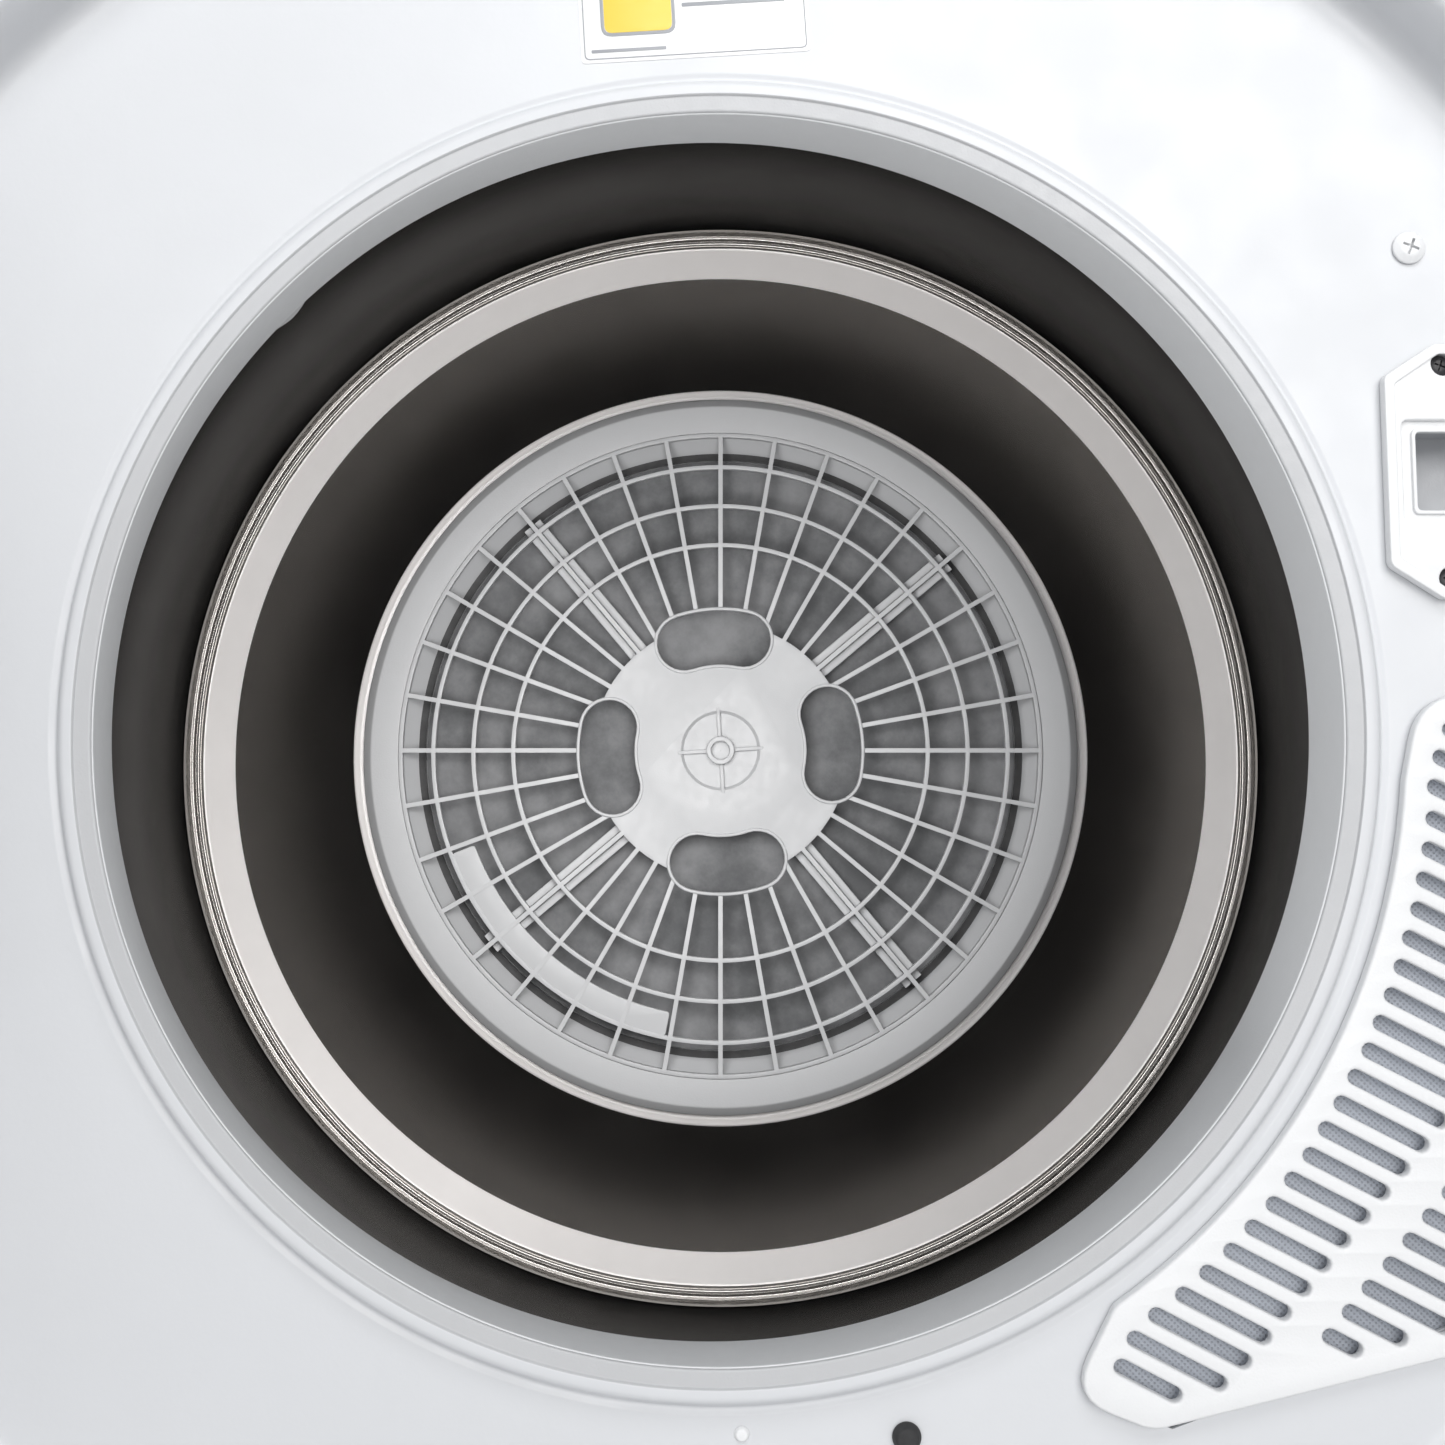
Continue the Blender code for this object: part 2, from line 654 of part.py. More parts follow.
def control_board(green):
    y = FRONT + 0.006 + SEAT  # on the ends of the dials' stems
    return box("control_board", (-0.2 * SIDE, y, DIAL_Z - 0.03), (0.8 * SIDE, y + 0.0016, DIAL_Z + 0.03), green)


def dial(name, x, radius, height, silver):
    """A knob with a raised grip across it and a stem through the fascia."""
    face = FRONT - FASCIA_PROUD - SEAT
    profile = [
        (0, face - height), (radius * 0.86, face - height), (radius, face - 0.002), (radius, face),
        (STEM_RADIUS, face), (STEM_RADIUS, FRONT + 0.006), (0, FRONT + 0.006),
    ]  # fmt: skip
    knob = turned(name, profile, silver, steps=24, at=(x, 0, DIAL_Z))
    grip = box(
        f"{name}_grip",
        (-0.0035, face - height - 0.006, -radius * 0.8),
        (0.0035, face - height + 0.003, radius * 0.8),
        at=(x, 0, DIAL_Z),
    )
    return join(knob, grip)


def start_button(silver):
    face = FRONT - FASCIA_PROUD
    profile = [
        (0, face - 0.004), (BUTTON_RADIUS - 0.001, face - 0.004), (BUTTON_RADIUS, face - 0.003),
        (BUTTON_RADIUS, face + 0.0034), (BUTTON_RADIUS + 0.002, face + 0.0034),
        (BUTTON_RADIUS + 0.002, face + 0.0048), (0, face + 0.0048),
    ]  # fmt: skip
    return turned("start_button", profile, silver, steps=SMALL, at=(BUTTON_X, 0, DIAL_Z))


# ---- Drum --------------------------------------------------------------------------------------------------
def drum_shell(stainless):
    return ring(
        "drum_shell",
        DRUM_RADIUS - DRUM_SHEET,
        DRUM_RADIUS,
        DRUM_FRONT,
        DRUM_BACK,
        stainless,
        at=(0, 0, AXIS_Z),
    )


def drum_rear_wall(stainless):
    """A flange inside the shell, beads, a flat bright band, a cone towards the door and a hemmed opening."""
    wall = DRUM_RADIUS - DRUM_SHEET - SEAT
    band = wall - SEAM_WIDTH
    cone = band - BAND_WIDTH
    neck = FILTER_OPENING + HEM_WIDTH
    t = DRUM_SHEET + 0.0002
    profile = [
        (wall - t, DRUM_BACK - 0.008),
        (wall - t, DRUM_BACK - 0.0005),
        (band, BAND_Y),
        (cone, BAND_Y),
        (neck, NECK_Y),
        (FILTER_OPENING, NECK_Y - 0.002),
        (FILTER_OPENING, NECK_Y - 0.002 + t),
        (neck - 0.0006, NECK_Y + t),
        (cone - 0.0003, BAND_Y + t),
        (band + 0.0004, BAND_Y + t),
        (wall, DRUM_BACK + 0.0007),
        (wall, DRUM_BACK - 0.008),
    ]
    return turned("drum_rear_wall", profile, stainless, at=(0, 0, AXIS_Z))


def lifter(number, angle, plastic):
    """A hollow-looking paddle on the drum wall, round-topped, sloping down towards the back."""
    flat = (DRUM_RADIUS - DRUM_SHEET) * math.cos(math.pi / ROUND) - SEAT
    start = DRUM_FRONT + 0.014
    top, half = flat - LIFTER_HEIGHT, LIFTER_WIDTH / 2
    floor = math.sqrt(flat**2 - half**2)
    loops = []
    for y, rise, spread in (
        (start, 0.25, 0.7),
        (start + 0.018, 1.0, 1.0),
        (start + LIFTER_LENGTH - 0.075, 1.0, 1.0),
        (start + LIFTER_LENGTH, 0.2, 0.75),
    ):
        crest = floor - (floor - top) * rise
        loops.append(
            [
                (floor, y, -half * spread),
                (floor - (floor - crest) * 0.55, y, -half * 0.62 * spread),
                (crest, y, -half * 0.28 * spread),
                (crest, y, half * 0.28 * spread),
                (floor - (floor - crest) * 0.55, y, half * 0.62 * spread),
                (floor, y, half * spread),
            ]
        )
    bm = bmesh.new()
    rows = [[bm.verts.new(point) for point in loop] for loop in loops]
    for row, following in zip(rows, rows[1:]):
        for i in range(6):
            j = (i + 1) % 6
            bm.faces.new((row[i], row[j], following[j], following[i]))
    bm.faces.new(rows[0])
    bm.faces.new(rows[-1][::-1])
    bmesh.ops.rotate(bm, verts=bm.verts, cent=(0, 0, 0), matrix=Matrix.Rotation(-math.radians(angle), 3, "Y"))
    return add(f"drum_lifter_{number}", bm, plastic, at=(0, 0, AXIS_Z))


TRAY_RADIUS = FILTER_OPENING - 0.0050
TRAY_Y = NECK_Y - 0.0140  # front of the tray's flange
MESH_RADIUS = (RING_RADII[-1] + GRILLE_RADIUS) / 2 - 0.0023


def filter_tray(grey):
    """The ring that holds the mesh: a flange, and a wall sloping in to the mesh's seat."""
    seat_y = TRAY_Y + 0.0170
    edge = FILTER_OPENING - SEAT
    inner = bore(GRILLE_RADIUS, ROUND, 0.0001)
    profile = [
        (inner, TRAY_Y),
        (TRAY_RADIUS, TRAY_Y),
        (edge, TRAY_Y + 0.004),
        (edge, seat_y + 0.003),
        (MESH_RADIUS - 0.004, seat_y + 0.003),
        (MESH_RADIUS - 0.004, seat_y + 0.0015),
        (MESH_RADIUS + SEAT, seat_y + 0.0015),
        (MESH_RADIUS + SEAT, seat_y),
        (inner, TRAY_Y + 0.004),
    ]
    return turned("filter_tray", profile, grey, at=(0, 0, AXIS_Z))


def filter_mesh(mesh_grey):
    y = TRAY_Y + 0.0170
    return disc("filter_mesh", MESH_RADIUS, y, y + 0.0011, mesh_grey, at=(0, 0, AXIS_Z))


def drum_spider(steel):
    """A ring and four arms behind the mesh that carry the drum's shaft."""
    low, high = TRAY_Y + 0.0215, TRAY_Y + 0.0285
    rim = FILTER_OPENING - SEAT
    wheel = ring("drum_spider", rim - 0.008, rim, low, high, steel, at=(0, 0, AXIS_Z))
    hub = ring("spider_hub", bore(SHAFT_RADIUS, 24, SEAT), 0.024, low - 0.001, high + 0.012, steps=24, at=(0, 0, AXIS_Z))
    arms = []
    for i in range(4):
        arm = box(f"spider_arm_{i}", (0.0215, low + 0.0005, -0.009), (rim - 0.003, high - 0.0005, 0.009))
        arm.location = (0, 0, AXIS_Z)
        arm.rotation_euler = (0, -math.radians(40 + 90 * i), 0)
        arms.append(arm)
    return join(wheel, hub, *arms)


def drum_shaft(steel):
    return disc(
        "drum_shaft", SHAFT_RADIUS, TRAY_Y + 0.020, BACK - 0.004, steel, steps=24, at=(0, 0, AXIS_Z)
    )


def filter_grille(grey):
    """Spokes and rings in one flat moulding, with a hub plate that has four kidney-shaped windows."""
    rings = [HUB_RADIUS - 0.002, *RING_RADII, GRILLE_RADIUS - 0.001]
    bands = [edge for radius in rings for edge in (radius - 0.001, radius + 0.001)]
    front = TRAY_Y - 0.001
    bm = bmesh.new()
    grid = []
    for radius in bands:
        lean = math.asin(SPOKE_WIDTH / 2 / radius)
        row = []
        for i in range(SPOKES):
            middle = RIGHT_ANGLE + 2 * math.pi * i / SPOKES
            for angle in (middle - lean, middle + lean):
                row.append(bm.verts.new((radius * math.cos(angle), front, radius * math.sin(angle))))
        grid.append(row)
    count = 2 * SPOKES
    faces = [bm.faces.new(grid[0])]
    for band, (row, following) in enumerate(zip(grid, grid[1:])):
        is_ring = band % 2 == 0
        for i in range(count):
            is_spoke = i % 2 == 0
            if is_ring or is_spoke:
                j = (i + 1) % count
                faces.append(bm.faces.new((row[i], row[j], following[j], following[i])))
    made = bmesh.ops.extrude_face_region(bm, geom=faces)["geom"]
    verts = [v for v in made if isinstance(v, bmesh.types.BMVert)]
    bmesh.ops.translate(bm, verts=verts, vec=(0, GRILLE_THICKNESS, 0))
    grille = add("filter_grille", bm, grey, at=(0, 0, AXIS_Z))
    reach = HUB_RADIUS + 0.0081 - KIDNEY_WIDTH / 2
    at = (0, 0, AXIS_Z)
    for i in range(4):
        angle = KIDNEY_TURN + 90 * i
        centre = polar(reach, angle)
        length, width = KIDNEY_LENGTH + 2 * KIDNEY_RIM, KIDNEY_WIDTH + 2 * KIDNEY_RIM
        rim_outline = stadium(length, width, centre, angle)
        rim = prism(f"kidney_rim_{i}", rim_outline, front - 0.0012, front + GRILLE_THICKNESS - 0.0006, at=at)
        join(grille, rim)
    for i in range(4):
        angle = KIDNEY_TURN + 90 * i
        outline = stadium(KIDNEY_LENGTH, KIDNEY_WIDTH, polar(reach, angle), angle)
        cut(grille, prism(f"kidney_window_{i}", outline, front - 0.01, front + 0.01, at=at))
    boss = ring("filter_boss", 0.005, 0.0075, front - 0.0032, front + 0.001, steps=SMALL, at=at)
    return join(grille, boss)


# ---- Rear of the cabinet: bearing, air chamber, blower and exhaust -----------------------------------------
def chamber_outline(inset):
    return round_belt(
        (0, 0),
        FILTER_OPENING + 0.016 - inset,
        (MOTOR_X, MOTOR_Z - AXIS_Z),
        BLOWER_RADIUS + 0.012 - inset,
        24,
    )


def air_chamber(zinc):
    """A closed pan behind the drum that leads the air down to the blower."""
    at = (0, 0, AXIS_Z)
    pan = prism("air_chamber", chamber_outline(0), CHAMBER_FRONT, CHAMBER_BACK, zinc, at=at)
    wall = 0.0015
    hollow = prism("chamber_hollow", chamber_outline(wall), CHAMBER_FRONT + wall, CHAMBER_BACK - wall, at=at)
    mouth = disc("chamber_mouth", FILTER_OPENING + 0.004, CHAMBER_FRONT - 0.01, CHAMBER_FRONT + 0.01, at=at)
    inlet = disc(
        "blower_inlet",
        0.045,
        CHAMBER_FRONT - 0.01,
        CHAMBER_FRONT + 0.01,
        steps=24,
        at=(MOTOR_X, 0, MOTOR_Z),
    )
    hole = disc("chamber_bore", SHAFT_RADIUS + 0.003, CHAMBER_BACK - 0.01, CHAMBER_BACK + 0.01, steps=24, at=at)
    return cut(pan, hollow, mouth, inlet, hole)


def shaft_bearing(steel):
    low = CHAMBER_BACK + SEAT
    inner = bore(SHAFT_RADIUS, 24)
    profile = [
        (inner, low), (0.036, low), (0.036, low + 0.002),
        (0.020, low + 0.002), (0.020, low + 0.007), (inner, low + 0.007),
    ]  # fmt: skip
    return turned("shaft_bearing", profile, steel, steps=24, at=(0, 0, AXIS_Z))


BLOWER_FRONT = MOTOR_BACK + 0.018
BLOWER_BACK = CHAMBER_FRONT - SEAT


def blower_housing(zinc):
    outer, wall = BLOWER_RADIUS + 0.010, 0.0015
    profile = [
        (0.009, BLOWER_FRONT), (outer, BLOWER_FRONT), (outer, BLOWER_BACK), (outer - wall, BLOWER_BACK),
        (outer - wall, BLOWER_FRONT + wall), (0.009, BLOWER_FRONT + wall),
    ]  # fmt: skip
    housing = turned("blower_housing", profile, zinc, steps=24, at=(MOTOR_X, 0, MOTOR_Z))
    low = (MOTOR_X - 0.2, BLOWER_FRONT + 0.005, MOTOR_Z - 0.055)
    outlet = box("blower_outlet", low, (MOTOR_X - 0.03, BLOWER_BACK - 0.005, MOTOR_Z + 0.005))
    return cut(housing, outlet)


def blower_wheel(grey):
    """A backplate with straight blades, on the rear end of the motor's shaft."""
    low = BLOWER_FRONT + 0.005
    high = BLOWER_BACK - 0.006
    at = (MOTOR_X, 0, MOTOR_Z)
    inner = bore(ROTOR_RADIUS, 24, SEAT)
    profile = [
        (inner, low), (BLOWER_RADIUS, low), (BLOWER_RADIUS, low + 0.002),
        (0.014, low + 0.002), (0.012, low + 0.020), (inner, low + 0.020),
    ]  # fmt: skip
    wheel = turned("blower_wheel", profile, grey, steps=24, at=at)
    blades = bmesh.new()
    for i in range(12):
        size = Matrix.Diagonal((0.024, high - low - 0.001, 0.0016, 1))
        place = Matrix.Translation((BLOWER_RADIUS - 0.0135, (low + high) / 2 + 0.0005, 0))
        turn = Matrix.Rotation(math.radians(30 * i + 7), 4, "Y")
        bmesh.ops.create_cube(blades, size=1, matrix=turn @ place @ size)
    return join(wheel, add("blower_blades", blades, None, at=at))


def exhaust_duct(zinc):
    """An elbow from the blower to the outlet in the back."""
    right = MOTOR_X - BLOWER_RADIUS - 0.0125
    half = 0.050
    front, rear = BLOWER_FRONT + 0.001, BLOWER_BACK - 0.001
    low, high = PAN_WALL + 0.001, MOTOR_Z + 0.012

    def elbow(inset, past):
        left, far = EXHAUST_X - half + inset, EXHAUST_X + half - inset
        return [
            (left, front + inset), (right + past, front + inset), (right + past, rear - inset),
            (far, rear - inset), (far, BACK - SHEET - SEAT + past), (left, BACK - SHEET - SEAT + past),
        ]  # fmt: skip

    duct = prism("exhaust_duct", elbow(0, 0), low, high, zinc, axis="Z")
    return cut(duct, prism("duct_hollow", elbow(0.0015, 0.02), low + 0.0015, high - 0.0015, axis="Z"))


# ---- Drive -------------------------------------------------------------------------------------------------
def motor_can(dark):
    inner = bore(ROTOR_RADIUS, 24)
    profile = [
        (inner, MOTOR_FRONT), (0.030, MOTOR_FRONT), (MOTOR_RADIUS, MOTOR_FRONT + 0.012),
        (MOTOR_RADIUS, MOTOR_BACK - 0.012), (0.030, MOTOR_BACK), (inner, MOTOR_BACK),
    ]  # fmt: skip
    return turned("motor_can", profile, dark, steps=24, at=(MOTOR_X, 0, MOTOR_Z))


def motor_shaft(steel):
    """The shaft, with the drum's pulley turned on its front end."""
    low, high = BELT_Y - BELT_WIDTH / 2 - 0.001, BELT_Y + BELT_WIDTH / 2 + 0.001
    rim = PULLEY_RADIUS + 0.003
    profile = [
        (0, low - 0.003), (rim, low - 0.003), (rim, low), (PULLEY_RADIUS, low), (PULLEY_RADIUS, high),
        (rim, high), (rim, high + 0.003), (ROTOR_RADIUS, high + 0.003), (ROTOR_RADIUS, BLOWER_BACK - 0.014),
        (0, BLOWER_BACK - 0.014),
    ]  # fmt: skip
    return turned("motor_shaft", profile, steel, steps=SMALL, at=(MOTOR_X, 0, MOTOR_Z))


def motor_cradle(zinc):
    low, high = MOTOR_FRONT + 0.020, MOTOR_BACK - 0.020
    half = 0.9 * MOTOR_RADIUS
    cradle = box(
        "motor_cradle", (MOTOR_X - half, low, SHEET + SEAT), (MOTOR_X + half, high, MOTOR_Z - 0.3 * MOTOR_RADIUS), zinc
    )
    saddle = disc("cradle_saddle", MOTOR_RADIUS + SEAT, low - 0.1, high + 0.1, steps=24, at=(MOTOR_X, 0, MOTOR_Z))
    return cut(cradle, saddle)


def drive_belt(rubber):
    motor = (MOTOR_X, MOTOR_Z - AXIS_Z)
    gap = SEAT + DRUM_RADIUS * (1 / math.cos(math.pi / ROUND) - 1)
    small_gap = SEAT + 0.0002
    inner = round_belt((0, 0), DRUM_RADIUS + gap, motor, PULLEY_RADIUS + small_gap, ROUND)
    outer = round_belt(
        (0, 0),
        DRUM_RADIUS + gap + BELT_THICKNESS,
        motor,
        PULLEY_RADIUS + small_gap + BELT_THICKNESS,
        ROUND,
    )
    low, high = BELT_Y - BELT_WIDTH / 2, BELT_Y + BELT_WIDTH / 2
    loops = [[(u, y, v) for u, v in outline] for outline, y in ((inner, low), (outer, low), (outer, high), (inner, high))]
    return loft("drive_belt", loops, rubber, at=(0, 0, AXIS_Z))


def idler_place():
    """(x, z) of the idler's centre, against the outside of the belt's right-hand run."""
    dx, dz = MOTOR_X, MOTOR_Z - AXIS_Z
    towards = math.degrees(math.atan2(dz, dx))
    lean = math.degrees(math.acos((DRUM_RADIUS - PULLEY_RADIUS) / math.hypot(dx, dz)))
    out = polar(1, towards - lean)
    start, end = polar(DRUM_RADIUS, towards - lean), polar(PULLEY_RADIUS, towards - lean)
    share = 0.70
    u = start[0] + (MOTOR_X + end[0] - start[0]) * share
    v = start[1] + (dz + end[1] - start[1]) * share
    reach = IDLER_RADIUS + BELT_THICKNESS + 2 * SEAT + DRUM_RADIUS * (1 / math.cos(math.pi / ROUND) - 1)
    return (u + out[0] * reach, AXIS_Z + v + out[1] * reach)


IDLER_PIVOT = (MOTOR_X - 0.125, 0.045)
ARM_Y = BELT_Y - BELT_WIDTH / 2 - 0.0075


def idler_pulley(grey):
    x, z = idler_place()
    low, high = BELT_Y - BELT_WIDTH / 2 - 0.001, BELT_Y + BELT_WIDTH / 2 + 0.001
    return ring("idler_pulley", bore(IDLER_PIN, SMALL), IDLER_RADIUS, low, high, grey, steps=SMALL, at=(x, 0, z))


def idler_arm(steel):
    """A flat arm from the pivot to the idler, with the pulley's pin at its end."""
    x, z = idler_place()
    px, pz = IDLER_PIVOT
    outline = round_belt((0, 0), 0.0120, (x - px, z - pz), 0.0080, 8)
    arm = prism("idler_arm", outline, ARM_Y - 0.0015, ARM_Y + 0.0015, steel, at=(px, 0, pz))
    pin = disc("idler_pin", IDLER_PIN, ARM_Y, BELT_Y + BELT_WIDTH / 2 + 0.002, steps=SMALL, at=(x, 0, z))
    hole = disc("idler_bore", bore(IDLER_PIN, SMALL), ARM_Y - 0.01, ARM_Y + 0.01, steps=SMALL, at=(px, 0, pz))
    return cut(join(arm, pin), hole)


def idler_bracket(zinc):
    """An upright on the base pan with the arm's pivot pin."""
    px, pz = IDLER_PIVOT
    y = ARM_Y + 0.0020
    plate = box("idler_bracket", (px - 0.018, y, SHEET + SEAT), (px + 0.018, y + 0.002, pz + 0.014), zinc)
    foot = box("idler_foot", (px - 0.016, y + 0.001, SHEET + SEAT + 0.0001), (px + 0.016, y + 0.030, SHEET + 0.003))
    pin = disc("idler_pivot", IDLER_PIN, ARM_Y - 0.004, y + 0.001, steps=SMALL, at=(px, 0, pz))
    return join(plate, foot, pin)


def roller_centres():
    reach = DRUM_RADIUS + ROLLER_RADIUS + 0.0005
    return [(reach * math.cos(math.radians(a)), AXIS_Z + reach * math.sin(math.radians(a))) for a in ROLLER_ANGLES]


def drum_rollers(rubber):
    for side, (x, z) in zip(("left", "right"), roller_centres()):
        ring(
            f"drum_roller_{side}",
            bore(ROLLER_PIN, 24),
            ROLLER_RADIUS,
            BULKHEAD + 0.008,
            BULKHEAD + 0.028,
            rubber,
            steps=24,
            at=(x, 0, z),
        )


# ---- Door --------------------------------------------------------------------------------------------------
def door_pivot():
    """An empty on the hinge's axis, turned to the open position."""
    pivot = bpy.data.objects.new("door_pivot", None)
    bpy.context.collection.objects.link(pivot)
    pivot.location = (HINGE_X, HINGE_Y, 0)
    pivot.rotation_euler = (0, 0, -math.radians(DOOR_OPEN))
    return pivot


def in_door(pivot):
    """Where a piece that is drawn about the drum's axis, on the shut door, goes under the pivot."""
    return {"at": (-HINGE_X, -HINGE_Y, AXIS_Z), "parent": pivot}


def hinge_notch(name, pivot, low, high):
    return box(
        name,
        (-DOOR_RADIUS - 0.01, low, -HINGE_HALF),
        (HINGE_X + 0.012, high, HINGE_HALF),
        **in_door(pivot),
    )


def door_frame(pivot, white):
    """The round outer moulding: a front face, an outer wall and an inner edge for the window."""
    inner, lip = WINDOW_RADIUS - 0.004, GLASS_SEAT - GLASS_THICKNESS - 2 * SEAT
    profile = [
        (inner, lip), (inner, DOOR_FACE + 0.004), (inner + 0.008, DOOR_FACE), (DOOR_RADIUS - 0.008, DOOR_FACE),
        (DOOR_RADIUS, DOOR_FACE + 0.008), (DOOR_RADIUS, DOOR_BACK), (DOOR_RADIUS - DOOR_SKIN, DOOR_BACK),
        (DOOR_RADIUS - DOOR_SKIN, DOOR_FACE + 0.009), (DOOR_RADIUS - 0.009, DOOR_FACE + DOOR_SKIN),
        (inner + 0.008, DOOR_FACE + DOOR_SKIN), (inner + 0.0025, DOOR_FACE + 0.008), (inner + 0.0025, lip),
    ]  # fmt: skip
    frame = turned("door_frame", profile, white, **in_door(pivot))
    return cut(frame, hinge_notch("frame_notch", pivot, DOOR_FACE + DOOR_SKIN + 0.0002, DOOR_BACK + 0.01))


def door_liner(pivot, white):
    """The inner moulding, with a groove for the seal and a seat for the glass."""
    outer = DOOR_RADIUS - DOOR_SKIN - SEAT
    groove_out = MOUTH_RADIUS + 0.006
    sunk = GLASS_SEAT
    t = 0.0025
    edge = bore(WINDOW_RADIUS, ROUND, SEAT)
    profile = [
        (edge, sunk), (groove_out, sunk), (groove_out, DOOR_BACK - t), (outer, DOOR_BACK - t),
        (outer, DOOR_BACK), (groove_out - t, DOOR_BACK), (groove_out - t, sunk + t), (edge, sunk + t),
    ]  # fmt: skip
    liner = turned("door_liner", profile, white, **in_door(pivot))
    notch = hinge_notch("liner_notch", pivot, DOOR_FACE + DOOR_SKIN, DOOR_BACK + 0.01)
    return cut(liner, notch)


def door_window(pivot, glass):
    """A glass bowl that reaches into the mouth when the door is shut."""
    seat = GLASS_SEAT - SEAT
    tip = DOOR_BACK + BOWL_DEPTH
    t = GLASS_THICKNESS
    low, mid, edge = WINDOW_RADIUS * 0.72, WINDOW_RADIUS * 0.91, WINDOW_RADIUS - 0.0005
    profile = [
        (0, tip), (low, tip - 0.003), (mid, tip - 0.014), (edge, seat + 0.006), (edge, seat),
        (WINDOW_RADIUS + 0.009, seat), (WINDOW_RADIUS + 0.009, seat - t), (edge - t, seat - t),
        (edge - t, seat + 0.004), (mid - t, tip - 0.016), (low - 0.002, tip - 0.003 - t), (0, tip - t),
    ]  # fmt: skip
    return turned("door_window", profile, glass, **in_door(pivot))


def door_seal(pivot, rubber):
    sunk = GLASS_SEAT + 0.0025
    middle = MOUTH_RADIUS - 0.0065
    face = FLOOR - RING_HEIGHT - SEAT
    profile = [
        (middle - 0.006, sunk + SEAT), (middle + 0.006, sunk + SEAT), (middle + 0.0035, face), (middle - 0.0025, face),
    ]  # fmt: skip
    return turned("door_seal", profile, rubber, **in_door(pivot))


def door_hook(pivot, steel):
    """The catch that enters the latch."""
    root = DOOR_BACK + SEAT
    x, z = LATCH_X, LATCH_UP
    hook = box("door_hook", (x - 0.010, root, z - 0.010), (x + 0.008, root + 0.0025, z + 0.010), steel, **in_door(pivot))
    tongue = box("hook_tongue", (x - 0.006, root + 0.001, z - 0.006), (x, root + 0.0160, z + 0.006), **in_door(pivot))
    barb = box("hook_barb", (x - 0.003, root + 0.0120, z - 0.006), (x + 0.004, root + 0.0158, z + 0.006), **in_door(pivot))
    return join(hook, tongue, barb)


def door_handle(pivot, silver):
    """A grip along the free edge of the door's face."""
    r1, r2 = DOOR_RADIUS - 0.040, DOOR_RADIUS - 0.014
    outline = arc(r2, -16, 16, 8) + arc(r1, 16, -16, 8)
    low = DOOR_FACE - SEAT
    grip = prism("door_handle", outline, low - 0.012, low, silver, **in_door(pivot))
    pocket_outline = arc(r1 + 0.014, -13, 13, 8) + arc(r1 - 0.01, 13, -13, 8)
    pocket = prism("handle_pocket", pocket_outline, low - 0.008, low + 0.01, **in_door(pivot))
    return cut(grip, pocket)


KNUCKLE_HALF = 0.020
EAR_HALF = 0.003


def hinge_leaf(pivot, steel):
    """The door's half of the hinge: a barrel round the pin and a plate inside the door."""
    at = in_door(pivot)
    barrel = ring("hinge_leaf", bore(PIN_RADIUS, SMALL), 0.005, -KNUCKLE_HALF, KNUCKLE_HALF, steel, axis="Z", steps=SMALL)
    barrel.location = (0, 0, AXIS_Z)
    barrel.parent = pivot
    low = (HINGE_X + 0.0040, HINGE_Y - 0.0015, -KNUCKLE_HALF + 0.001)
    plate = box("hinge_strap", low, (HINGE_X + 0.040, HINGE_Y + 0.0015, KNUCKLE_HALF - 0.001), **at)
    return join(barrel, plate)


def hinge_plate(steel):
    """The cabinet's half: a plate on the recess floor with two ears that reach out to the pin."""
    back = FLOOR - SEAT
    half = KNUCKLE_HALF + 0.0004
    left = HINGE_X - 0.004
    plate = box("hinge_plate", (left, back - 0.0025, -0.045), (HINGE_X + 0.030, back, 0.045), steel)
    plate.location = (0, 0, AXIS_Z)
    ears = []
    for name, low, high in (("lower", -half - 0.004, -half), ("upper", half, half + 0.004)):
        ear = box(f"hinge_ear_{name}", (HINGE_X - EAR_HALF - 0.0005, HINGE_Y - 0.005, low),
                  (HINGE_X + EAR_HALF, back - 0.001, high))  # fmt: skip
        ear.location = (0, 0, AXIS_Z)
        ears.append(ear)
    join(plate, *ears)
    radius = bore(PIN_RADIUS, SMALL, 0.0003)
    hole = disc("hinge_bore", radius, -0.04, 0.04, axis="Z", steps=SMALL, at=(HINGE_X, HINGE_Y, AXIS_Z))
    return cut(plate, hole)


def hinge_pin(steel):
    half = KNUCKLE_HALF + 0.0065
    at = (HINGE_X, HINGE_Y, AXIS_Z)
    return disc("hinge_pin", PIN_RADIUS, -half, half, steel, axis="Z", steps=SMALL, at=at)


def cord_gland(dark):
    inside = BACK - SHEET - SEAT
    profile = [
        (0.004, inside - 0.010), (0.0115, inside - 0.010), (0.0115, inside), (0.008, inside),
        (0.008, BACK + 0.004), (0.004, BACK + 0.004),
    ]  # fmt: skip
    return turned("cord_gland", profile, dark, steps=SMALL, at=(GLAND_X, 0, GLAND_Z))


